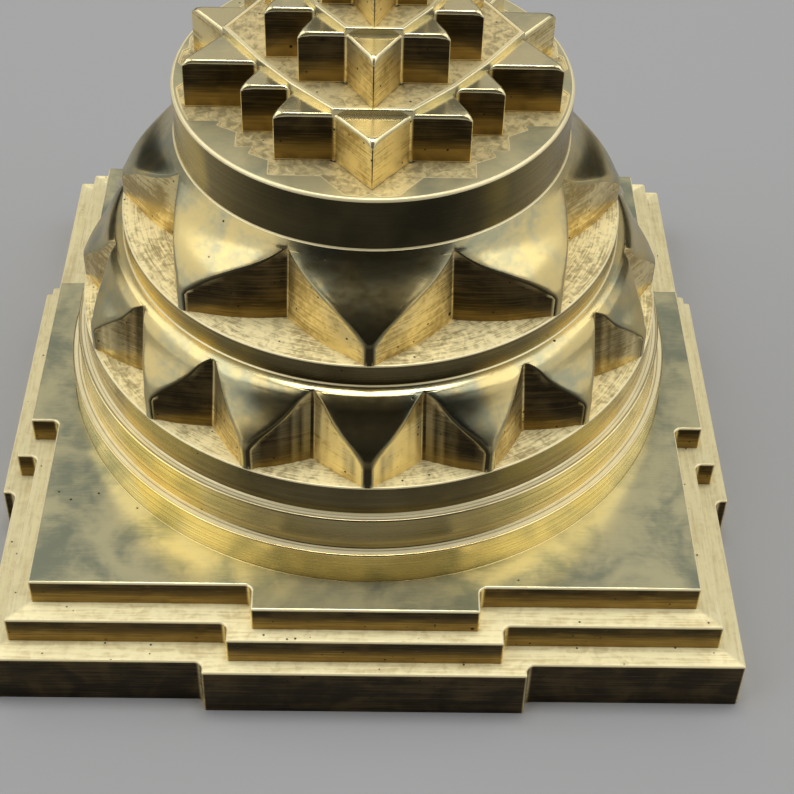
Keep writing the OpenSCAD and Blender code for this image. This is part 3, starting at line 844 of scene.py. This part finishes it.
def skirt_rows(tier, touch_r, web_r):
    """Radius, height and outward lean of each row of a skirt, from its foot up."""
    profile = np.array(tier["skirt"], dtype=float)
    steps = np.linalg.norm(np.diff(profile, axis=0), axis=1)
    length = np.concatenate([[0], np.cumsum(steps)])
    heading = np.gradient(profile, length, axis=0)
    touch_at = np.interp(-touch_r, -profile[:, 0], length)
    near_r = web_r[-1] - WEB_EDGE * INNER_STEPS
    near_at = np.interp(-np.concatenate([web_r, near_r]), -profile[:, 0], length)
    crown_at = np.linspace(near_at[-1], length[-1], CROWN_ROWS)[1:]
    at = np.concatenate([np.linspace(0, touch_at, SKIRT_ROWS), near_at, crown_at])
    r, z, out_r, out_z = (np.interp(at, length, values) for values in (*profile.T, *heading.T))
    lean = np.stack([out_z, -out_r], axis=-1)
    return r, z, lean / np.linalg.norm(lean, axis=-1, keepdims=True)


# %% Half a petal
PETAL_EDGE = 0.65
EDGE_MOST = 0.45
FADE_ROWS = 6
EDGE_SHARES = np.array([0, 0.05, 0.16, 0.34, 0.6, 1.0])
PLAIN_COLUMNS = 8
WALL_SHARES = np.array([0, 0.12, 0.4, 0.7, 1.0])
FLOOR_SHARES = np.array([0, 0.15, 0.5, 1.0])
RIM_EDGE = 0.20


def half_petal(tier):
    """Grids for half of a petal and its half notch, with the petal's tip at the front."""
    half_angle = math.pi / tier["count"]
    floor_z = tier["floor"]
    side, web = notch_side(half_angle, tier["rim_r"], tier["notch_r"] - tier["lean"], tier["side_r"])
    low_side, low_web = notch_side(half_angle, tier["rim_r"], tier["notch_r"], tier["side_r"])
    side_r, web_r = np.hypot(*side.T), np.hypot(*web.T)
    side_angle, web_angle = (np.arctan2(curve[:, 0], -curve[:, 1]) for curve in (side, web))
    r, z, lean = skirt_rows(tier, side_r[-1], web_r)
    cut = SKIRT_ROWS + len(web_r)
    widest = np.interp(-r[:SKIRT_ROWS], -side_r, side_angle)
    widest = np.concatenate([widest, web_angle, np.full(len(r) - cut, half_angle)])

    # The skirt's surface, with columns that crowd towards its rounded edge
    fade = np.clip((SKIRT_ROWS - 1 - np.arange(len(r))) / FADE_ROWS, 0, 1)
    edge = np.minimum(WEB_EDGE + (PETAL_EDGE - WEB_EDGE) * fade, EDGE_MOST * r * widest)
    from_side = edge[:, None] * EDGE_SHARES
    plain = np.linspace(0, 1, PLAIN_COLUMNS + 1)[1:]
    spread = edge[:, None] + (r * widest - edge)[:, None] * plain
    angles = widest[:, None] - np.concatenate([from_side, spread], axis=1) / r[:, None]
    surface = polar(r[:, None], angles, floor_z + z[:, None])
    outline = np.concatenate([side, web])
    gap = np.linalg.norm(surface[:, :, None, :2] - outline, axis=-1).min(axis=2)
    normal = polar(lean[:, :1], angles, lean[:, 1:])
    surface = surface - normal * edge_drop(gap, edge[:, None])[..., None]

    # The wall, upright at the tip and leaning more and more towards the notch's end
    at = np.interp(-r[:SKIRT_ROWS], -side_r, np.arange(len(side)))
    shift = [np.interp(at, np.arange(len(side)), axis) for axis in (low_side - side).T]
    shift = np.concatenate([np.stack(shift, axis=-1), low_web - web])
    brink = surface[:cut, 0]
    foot = brink * (1, 1, 0) + (0, 0, floor_z)
    foot[:, :2] += shift - shift[0] * np.linspace(1, 0, cut)[:, None]
    wall = brink[:, None] + (foot - brink)[:, None] * WALL_SHARES[:, None]

    # The floor, the rim below it, the hidden underside and the hidden top
    path = np.concatenate([surface[0, ::-1], foot[1:]])
    path_angle = np.arctan2(path[:, 0], -path[:, 1])
    round_r = np.minimum(RIM_EDGE, tier["rim_r"] - np.hypot(path[:, 0], path[:, 1]))
    turns = np.radians(np.linspace(90, 0, EDGE_STEPS + 1))[:, None]
    lip_r = tier["rim_r"] - round_r * (1 - np.cos(turns))
    lip = polar(lip_r, path_angle, floor_z - RIM_EDGE * (1 - np.sin(turns)))
    flat = path + (lip[0] - path) * FLOOR_SHARES[:, None, None]
    below = np.array(tier["below"])
    rim_foot = polar(below[1:3, :1], path_angle, below[1:3, 1:])
    under = polar(below[2:, :1], path_angle, below[2:, 1:])
    rim = np.concatenate([lip[-1:], polar(below[:2, :1], path_angle, below[:2, 1:])])
    above = np.array([(r[-1], floor_z + z[-1])] + tier["above"])
    crown = polar(above[:, :1], angles[-1], above[:, 1:])
    grids = ((surface, skirt_face), (wall, cut_wall), (flat, milled_floor), (lip, buffed_edge_painted_highlight), (rim, rim_wall),
             (rim_foot, buffed_edge_painted_highlight), (under, rim_wall), (crown, rim_wall))
    return [patch(points, finish) for points, finish in grids]


# %% Whole petal tiers
LEVEL_WITHIN = 2 * MERGE_WITHIN
PAINTED_AMBER_SUNK = 1.2


def fill_level(piece, level, finish_slot):
    """Fills the open rim on one level, in millimetres, with a face."""
    mesh = piece.data
    edit(piece)
    bpy.ops.mesh.select_mode(type="EDGE")
    bpy.ops.mesh.select_all(action="DESELECT")
    bpy.ops.mesh.select_non_manifold()
    leave_edit()
    for edge in mesh.edges:
        heights = [mesh.vertices[i].co.z for i in edge.vertices]
        if edge.select and any(abs(z - level * MM) > LEVEL_WITHIN for z in heights):
            edge.select = False
    bpy.ops.object.mode_set(mode="EDIT")
    bpy.ops.mesh.edge_face_add()
    leave_edit()
    mesh.polygons[len(mesh.polygons) - 1].material_index = finish_slot


def weld(piece):
    edit(piece)
    bpy.ops.mesh.remove_doubles(threshold=MERGE_WITHIN)
    leave_edit()


def petal_tier(tier):
    """A whole tier from half a petal."""
    half = join(half_petal(tier))
    other = moved_copy(half, Matrix.Scale(-1, 4, (1, 0, 0)))
    petal = join([half, other])
    step = math.tau / tier["count"]
    copies = [moved_copy(petal, Matrix.Rotation(step * k, 4, "Z")) for k in range(1, tier["count"])]
    whole = join([petal] + copies)
    weld(whole)
    for level in (tier["below"][-1][1], tier["above"][-1][1]):
        fill_level(whole, level, finish_slot=0)
    clean(whole)
    store_marks(whole, tier["floor"] - PAINTED_AMBER_SUNK)
    return whole


# %% Skirts
SKIRT_STEPS = 60
SHOULDER_STEPS = 24
OGEE = 0.35
SMALL_OGEE = 0.12
NOSE_ROUND = 1.8


def nose_and_slope(r, nose, crown, swell):
    """Upright nose that turns into a slope, which swells a little at first and hollows higher up."""
    foot, corner = np.array((r, 0.0)), np.array((r, nose))
    bend = corner_arc(corner, foot, crown, NOSE_ROUND)
    share = np.linspace(0, 1, SKIRT_STEPS)[1:, None]
    rise = crown - bend[-1]
    outward = np.array([rise[1], -rise[0]]) / norm(rise)
    slope = bend[-1] + rise * share + outward * swell * np.sin(math.tau * share)
    return np.concatenate([[foot], bend, slope])


def sloping_skirt(r, width, height, nose):
    """Slope that runs up to the next tier."""
    return nose_and_slope(r, nose, np.array((r - width, height)), OGEE)


def shouldered_skirt(r, width, slope_width, height, nose):
    """Slope that rolls over into a round shoulder below the next tier."""
    corner, end = np.array((r - slope_width, height)), np.array((r - width, height))
    start = corner + unit(np.array((r, nose)) - corner) * (width - slope_width)
    share = np.linspace(0, 1, SHOULDER_STEPS + 1)[1:, None]
    shoulder = (1 - share) ** 2 * start + 2 * share * (1 - share) * corner + share ** 2 * end
    return np.concatenate([nose_and_slope(r, nose, start, SMALL_OGEE), shoulder])


# %% Build the petal tiers
# Sizes in millimetres. Below runs down the rim and in to the bore, above runs in from the skirt's top
BORE_R = 3.3
SIXTEEN = {
    "count": 16, "floor": 31.6, "rim_r": 40.4, "notch_r": 36.15, "lean": 1.2, "side_r": 20,
    "skirt": shouldered_skirt(r=40.4, width=6.6, slope_width=4.9, height=11.5, nose=3.9),
    "below": [(40.4, 29), (40.4, 26.85), (40.58, 26.7), (30, 26.7), (30, 16.4), (BORE_R, 16.4)],
    "above": [(15.05, 43.1), (15.05, 39.8), (BORE_R, 39.8)],
}
EIGHT = {
    "count": 8, "floor": 46.5, "rim_r": 33.8, "notch_r": 27.4, "lean": 0.7, "side_r": 30,
    "skirt": sloping_skirt(r=33.8, width=7.7, height=12, nose=3.4),
    "below": [(33.8, 45), (33.8, 43.25), (33.98, 43.1), (15, 43.1), (15, 40.1), (BORE_R, 40.1)],
    "above": [(12.05, 58.5), (12.05, 55.2), (BORE_R, 55.2)],
}
for node, tier in (("sixteen_petal_tier", SIXTEEN), ("eight_petal_tier", EIGHT)):
    hand_over(petal_tier(tier), node)

# %% [markdown]
# ## Lines of the yantra
# Nine triangles cross each other, four with their point to the rear and five to the front. The
# figure only closes if three lines meet in many places at once. So a few lines are given, and the
# rest is solved from those meetings. Each triangle has a tip on the middle line and a slope.

# %% Yantra lines
FRONT_TIP, REAR_TIP, WIDE_HALF = -23.9, 23.1, 23.6
Y1, Y2, Y3 = 16.8, 9.95, 4.95
Y7, Y8, Y9 = -7.55, -12.7, -18.2


def half_at(side, y):
    """Half width of a triangle on the level y."""
    return side[1] * (side[0] - y)


def meet_y(a, b):
    """Level on which the sides of two triangles cross."""
    return (a[1] * a[0] - b[1] * b[0]) / (a[1] - b[1])


def side_through(tip, x, y):
    """Tip and slope of the triangle whose side runs through a point."""
    return (tip, x / (tip - y))


t3 = side_through(FRONT_TIP, WIDE_HALF, Y3)
t9 = side_through(Y3, half_at(t3, Y8), Y8)
t2 = side_through(Y9, half_at(t9, Y7), Y7)
t7 = side_through(REAR_TIP, half_at(t2, Y3), Y3)
t8 = side_through(Y1, half_at(t3, Y7), Y7)
slope_1 = (half_at(t7, Y2) - half_at(t8, Y3)) / (Y2 - Y3)
Y6 = Y3 - half_at(t8, Y3) / slope_1
t1 = (Y6, -slope_1)
t6 = side_through(Y2, half_at(t2, Y6), Y6)
t4 = side_through(Y8, half_at(t9, Y6), Y6)
Y4 = meet_y(t4, t8)
Y5 = meet_y(t4, t6)
t5 = side_through(Y7, half_at(t4, Y5), Y5)
print("centre triangle from", round(Y6, 2), "to", round(Y5, 2), "mm")

# %% Outlines of the stars
def on(side, y):
    """Point of a triangle's side on the level y."""
    return (half_at(side, y), y)


def meet(a, b):
    """Point where the sides of two triangles cross."""
    return on(a, meet_y(a, b))


FOURTEEN_SIDE = [
    (0, FRONT_TIP), on(t3, Y9), on(t9, Y9), on(t3, Y8), on(t8, Y8), on(t3, Y7), on(t7, Y7), meet(t3, t7),
    on(t3, Y3), on(t7, Y3), on(t2, Y2), on(t7, Y2), on(t1, Y1), on(t7, Y1), (0, REAR_TIP),
]
TEN_OUTER_SIDE = [
    (0, Y9), on(t2, Y8), on(t3, Y8), on(t2, Y7), on(t3, Y7), meet(t2, t8),
    on(t7, Y3), on(t8, Y3), on(t7, Y2), on(t8, Y2), (0, Y1),
]
TEN_INNER_SIDE = [
    (0, Y8), on(t4, Y7), on(t2, Y7), on(t4, Y6), on(t2, Y6), on(t4, Y5),
    on(t8, Y4), on(t6, Y4), on(t8, Y3), on(t6, Y3), (0, Y2),
]
EIGHT_SIDE = [
    (0, Y7), on(t5, Y6), on(t4, Y6), meet(t5, t9), on(t4, Y5), on(t9, Y5), on(t6, Y4), on(t9, Y4), (0, Y3),
]
print("corners on half of the widest star:", len(FOURTEEN_SIDE))

# %% [markdown]
# ## Drum
# The drum is a turned disc. A cutter milled a shallow strip along each wall of the star, and between the
# strips polished lands stayed along the edge. A Boolean could cut the strips, but a grid in circles
# whose middle row bends to their outline gives the same shape with even faces.

# %% Edge of the milled pocket
DRUM_R = 26.1
DRUM_COLUMNS = 720
POCKET_WIDTH = 3.2
POCKET_PAST = 0.5
LAND_LEAST = 0.9
SEARCH_FROM, SEARCH_STEP = 8, 0.05
around = np.linspace(0, math.tau, DRUM_COLUMNS + 1)


def whole_outline(side):
    """Both halves of a star's outline from its right-hand half."""
    return np.array(side + [(-x, y) for x, y in side[-2:0:-1]], dtype=float)


def pocket_edge(outline):
    """Greatest radius, at each angle, that a straight pass along one of the star's walls reaches."""
    radii = np.arange(SEARCH_FROM, DRUM_R, SEARCH_STEP)
    points = polar(radii, around[:, None], 0)[..., :2]
    milled = np.zeros(points.shape[:2], dtype=bool)
    for start, end in zip(outline, np.roll(outline, -1, axis=0)):
        length = norm(end - start)
        heading = (end - start) / length
        along = (points - start) @ heading
        away = np.abs((points - start) @ np.array([-heading[1], heading[0]]))
        milled |= (along > -POCKET_PAST) & (along < length + POCKET_PAST) & (away < POCKET_WIDTH)
    return np.minimum(np.where(milled, radii, 0).max(axis=1), DRUM_R - LAND_LEAST)


edge_r = pocket_edge(whole_outline(FOURTEEN_SIDE))
print("milled pocket reaches", round(edge_r.min(), 2), "to", round(edge_r.max(), 2), "mm")

# %% Drum
# The step's points lie outwards and up from the pocket's edge, the skirting's from the drum's foot
DRUM_LOW, DRUM_MID, DRUM_HIGH = 58.5, 62, 66.2
MILLED_Z = 65.95
POCKET_MID_R = 15
STEP_SHAPE = ((-0.10, 0), (0, 0.06), (0.06, 0.22), (0.18, 0.25))
SKIRTING_SHAPE = ((-0.08, 0.2), (-0.02, 0.07), (0.12, 0))
BROW = 0.40
SPIGOT_R, SPIGOT_LOW = 12, 55.5
TAPPED_R = 3.05
SOCKET_R, SOCKET_LOW = 7.05, 62.65


def circles(section):
    """Rows of places from radii, which may change round the circle, and heights."""
    return np.array([polar(np.broadcast_to(r, around.shape), around, z) for r, z in section])


step = [(edge_r + out, MILLED_Z + rise) for out, rise in STEP_SHAPE]
skirting = [(DRUM_R + out, DRUM_LOW + rise) for out, rise in SKIRTING_SHAPE]
wall_r = skirting[0][0]
brow = quarter(wall_r - BROW, DRUM_HIGH - BROW, BROW, 90, 0)
pocket = [(SOCKET_R, MILLED_Z), (POCKET_MID_R, MILLED_Z), step[0]]
land = [step[-1], brow[0]]
flank = [brow[-1], (wall_r, DRUM_MID), skirting[0]]
hidden = [
    skirting[-1], (SPIGOT_R, DRUM_LOW), (SPIGOT_R, SPIGOT_LOW), (TAPPED_R, SPIGOT_LOW),
    (TAPPED_R, SOCKET_LOW), (SOCKET_R, SOCKET_LOW), (SOCKET_R, MILLED_Z),
]
drum_parts = (
    (pocket, star_floor), (step, buffed_edge_painted_highlight), (land, drum_land), (brow, buffed_edge_painted_highlight), (flank, drum_wall),
    (skirting, buffed_edge_painted_highlight), (hidden, drum_wall),
)
drum = join([patch(circles(section), finish) for section, finish in drum_parts])
clean(drum)
hand_over(drum, "triangle_drum")

# %% [markdown]
# ## Star tiers
# Every star tier has upright walls, small flat triangles along its rim and a raised seat in the middle
# for the next tier. A plain extrusion would leave each point sharp as a blade. On the real one buffing
# has softened the upper edges and pulled the points down a little. So each triangle is a grid between
# its two sides that sinks along its edges, with walls below it and a low riser behind it.

# %% Sides of a small triangle
TIP_ROUND = 0.16
SIDE_STEPS = 12


def star_sides(outline, k, web_r):
    """Left and right side of the triangle with its tip at corner k, from its base to its tip."""
    count = len(outline)
    before, left, tip, right_c, after = (outline[(k + step) % count] for step in (-2, -1, 0, 1, 2))
    left_web = corner_arc(left, before, tip, web_r)[ARC_HALF:]
    right_web = corner_arc(right_c, after, tip, web_r)[ARC_HALF:]
    nose = corner_arc(tip, left, right_c, TIP_ROUND)
    steps = np.linspace(0, 1, SIDE_STEPS + 1)[1:-1, None]
    sides = []
    for web, end in ((left_web, nose[:ARC_HALF + 1]), (right_web, nose[ARC_HALF:][::-1])):
        straight = web[-1] + (end[0] - web[-1]) * steps
        sides.append(np.concatenate([web, straight, end]))
    return sides, (left, right_c)


# %% Top of a small triangle
STAR_EDGE = 0.45
STAR_EDGE_MOST, STAR_EDGE_LEAST = 0.42, 0.02
NO_WIDTH = 1e-9
TIP_FALL, TIP_FALL_MOST = 1.3, 0.3
TIP_DROOP = 0.8
STAR_ACROSS = np.array([0, 0.06, 0.2, 0.42, 0.7, 1.0])
STAR_MIDDLE = np.array([0.25, 0.5, 0.75])


def star_surface(left, right_s, top):
    """Top that sinks along its edges and at its tip, and the shares of its base at the columns."""
    across = right_s - left
    width = np.linalg.norm(across, axis=1)
    edge = np.minimum(STAR_EDGE, STAR_EDGE_MOST * width)
    share = np.divide(edge, width, out=np.full_like(edge, STAR_EDGE_MOST), where=width > NO_WIDTH)
    near = share[:, None] * STAR_ACROSS
    middle = share[:, None] + (1 - 2 * share)[:, None] * STAR_MIDDLE
    columns = np.concatenate([near, middle, 1 - near[:, ::-1]], axis=1)
    plan = left[:, None] + across[:, None] * columns[..., None]
    rim = np.concatenate([left, right_s])
    gap = np.linalg.norm(plan[:, :, None] - rim, axis=-1).min(axis=2)
    middle_line = (left + right_s) / 2
    from_tip = np.linalg.norm(middle_line - middle_line[-1], axis=1)
    droop = TIP_DROOP * edge_drop(from_tip, min(TIP_FALL, TIP_FALL_MOST * from_tip[0]))
    level = top - edge_drop(gap, np.maximum(edge, STAR_EDGE_LEAST)[:, None]) - droop[:, None]
    return np.concatenate([plan, level[..., None]], axis=-1), columns[0]


# %% Walls of a small triangle
# The cove's points lie up and outwards, as shares of its size
FOOT_COVE = 0.22
COVE_SHAPE = ((0.4, 0.2), (0.1, 0.6), (0, 1.0))
STAR_WALL_SHARES = (0, 0.12, 0.45, 0.8)


def star_walls(sides, corners, surface, low):
    """Grids for the two walls with the coves at their feet, and for the underside between them."""
    left, right_s = sides
    ahead_of_tip = unit(left[-1] - left[-2] + right_s[-1] - right_s[-2])
    grids = []
    feet = []
    for side, corner, column, sign in ((left, corners[0], 0, -1), (right_s, corners[1], -1, 1)):
        heading = np.gradient(side, axis=0)
        heading = heading / np.linalg.norm(heading, axis=1, keepdims=True)
        outward = sign * np.stack([heading[:, 1], -heading[:, 0]], axis=-1)
        outward[0], outward[-1] = unit(side[0] - corner), ahead_of_tip
        brink = surface[:, column, 2]
        wall = [np.column_stack([side, brink + (low - brink) * part]) for part in STAR_WALL_SHARES]
        wall.append(np.column_stack([side, np.full(len(side), low + FOOT_COVE)]))
        cove = [wall[-1]]
        for rise, out in COVE_SHAPE:
            level_z = np.full(len(side), low + FOOT_COVE * rise)
            cove.append(np.column_stack([side + outward * FOOT_COVE * out, level_z]))
        grids += [patch(np.array(wall), cut_wall), patch(np.array(cove), buffed_edge_painted_highlight)]
        feet.append(cove[-1])
    return grids + [patch(np.stack(feet, axis=1), cut_wall)]


# %% Seat behind a small triangle
# The brim's points lie inwards and down from the ridge
SEAT_RIDGE = 0.55
SEAT_EDGE = 0.22
SEAT_EDGE_STEPS = 3
SEAT_SINK = 0.15
BRIM_SHAPE = ((0, 0), (0.05, 0.04), (0.08, SEAT_SINK))


def star_seat(base, shares, seat, mitres):
    """Grids for the riser behind a triangle, and for the ridge on it and the brim of the sunk seat, which
    carry the painted edge highlight.
    """
    push = mitres[0] + (mitres[1] - mitres[0]) * shares[:, None]
    edge_z = seat - SEAT_EDGE
    bend = quarter(0, 0, SEAT_EDGE, 0, 90, SEAT_EDGE_STEPS)
    steps_in = [(0, edge_z)] + [(SEAT_EDGE - x, edge_z + y) for x, y in bend]
    ridge = len(steps_in) + 1
    steps_in += [(SEAT_RIDGE + x, seat - y) for x, y in BRIM_SHAPE]
    rows = [base]
    for inward, z in steps_in:
        rows.append(np.column_stack([base[:, :2] + push * inward, np.full(len(base), z)]))
    parts = ((rows[:ridge], star_top), (rows[ridge - 1:ridge + 1], buffed_edge_painted_highlight), (rows[ridge:], buffed_edge_painted_highlight))
    return [patch(np.array(part), finish) for part, finish in parts]


# %% Build the star tiers
# Each star's outline, its height, how far it sinks into the seat below, and its inner corners' radius
STAR_WALL, STAR_RISE = 6.9, 7.7
STARS = {
    "star_tier_fourteen": (FOURTEEN_SIDE, 65.95, 0, 1.0),
    "star_tier_ten_outer": (TEN_OUTER_SIDE, 73.65, SEAT_SINK, 0.75),
    "star_tier_ten_inner": (TEN_INNER_SIDE, 81.35, SEAT_SINK, 0.5),
    "star_tier_eight": (EIGHT_SIDE, 89.05, SEAT_SINK, 0.25),
}


def star_tier(side, low, foot, web_r):
    """A whole star tier from the right-hand half of its outline."""
    outline = whole_outline(side)
    triangles = [star_sides(outline, k, web_r) for k in range(0, len(outline), 2)]
    bases = [pair[1][0] - pair[0][0] for pair, corners in triangles]
    normals = [np.array([-b[1], b[0]]) / norm(b) for b in bases]
    grids = []
    for i, (pair, corners) in enumerate(triangles):
        mitres = []
        for other in (normals[i - 1], normals[(i + 1) % len(normals)]):
            total = normals[i] + other
            mitres.append(total / (1 + float(normals[i] @ other)))
        surface, shares = star_surface(*pair, low + STAR_WALL)
        grids.append(patch(surface, star_top))
        grids += star_walls(pair, corners, surface, foot)
        grids += star_seat(surface[0], shares, low + STAR_RISE, mitres)
    tier = join(grids)
    weld(tier)
    tier.data.materials.append(star_floor)
    fill_level(tier, low + STAR_RISE - SEAT_SINK, finish_slot=len(tier.data.materials) - 1)
    fill_level(tier, foot, finish_slot=1)
    clean(tier)
    store_marks(tier, foot)
    return tier


for node, (side, low, sink, web_r) in STARS.items():
    hand_over(star_tier(side, low, low - sink, web_r), node)

# %% [markdown]
# ## Centre triangle and bindu
# The last triangle carries the bindu, the dot from which the figure grows. Both are small, so a
# bevelled prism and a ball with a flat foot are enough.

# %% Centre triangle
CENTRE_LOW, CENTRE_HIGH = 96.75, 103.65
CENTRE_EDGE = 0.22
CENTRE_TOP_FROM = 0.2
centre_half = half_at(t1, Y5)
deselect()
bpy.ops.mesh.primitive_circle_add(vertices=3, fill_type="NGON")
centre = bpy.context.object
for vertex, (x, y) in zip(centre.data.vertices, ((0, Y6), (centre_half, Y5), (-centre_half, Y5))):
    vertex.co = (x * MM, y * MM, (CENTRE_LOW - SEAT_SINK) * MM)
edit(centre)
centre_h = CENTRE_HIGH - CENTRE_LOW + SEAT_SINK
bpy.ops.mesh.extrude_region_move(TRANSFORM_OT_translate={"value": (0, 0, centre_h * MM)})
bpy.ops.mesh.select_mode(type="EDGE")
leave_edit()
for edge in centre.data.edges:
    edge.select = max(centre.data.vertices[i].co.z for i in edge.vertices) > CENTRE_HIGH * MM - MERGE_WITHIN
bevel_picked(CENTRE_EDGE)
clean(centre)
finish_by_slope(centre, (cut_wall, star_top), (CENTRE_TOP_FROM,))
store_marks(centre, CENTRE_LOW)
hand_over(centre, "centre_triangle")

# %% Bindu
BINDU_R, BINDU_CUT = 1.3, 0.65
BINDU_COLUMNS, BINDU_ROWS = 48, 24
centre_depth = Y5 - Y6
centre_y = Y5 - centre_half * centre_depth / (centre_half + math.hypot(centre_half, centre_depth))
bindu_z = CENTRE_HIGH + BINDU_R - BINDU_CUT
deselect()
bpy.ops.mesh.primitive_uv_sphere_add(segments=BINDU_COLUMNS, ring_count=BINDU_ROWS, radius=BINDU_R * MM)
bindu = bpy.context.object
bindu.data.transform(Matrix.Translation(Vector((0, centre_y, bindu_z)) * MM))
edit(bindu)
bpy.ops.mesh.bisect(plane_co=(0, 0, CENTRE_HIGH * MM), plane_no=(0, 0, 1), use_fill=True, clear_inner=True)
leave_edit()
clean(bindu)
bindu.data.materials.append(star_top)
hand_over(bindu, "bindu")
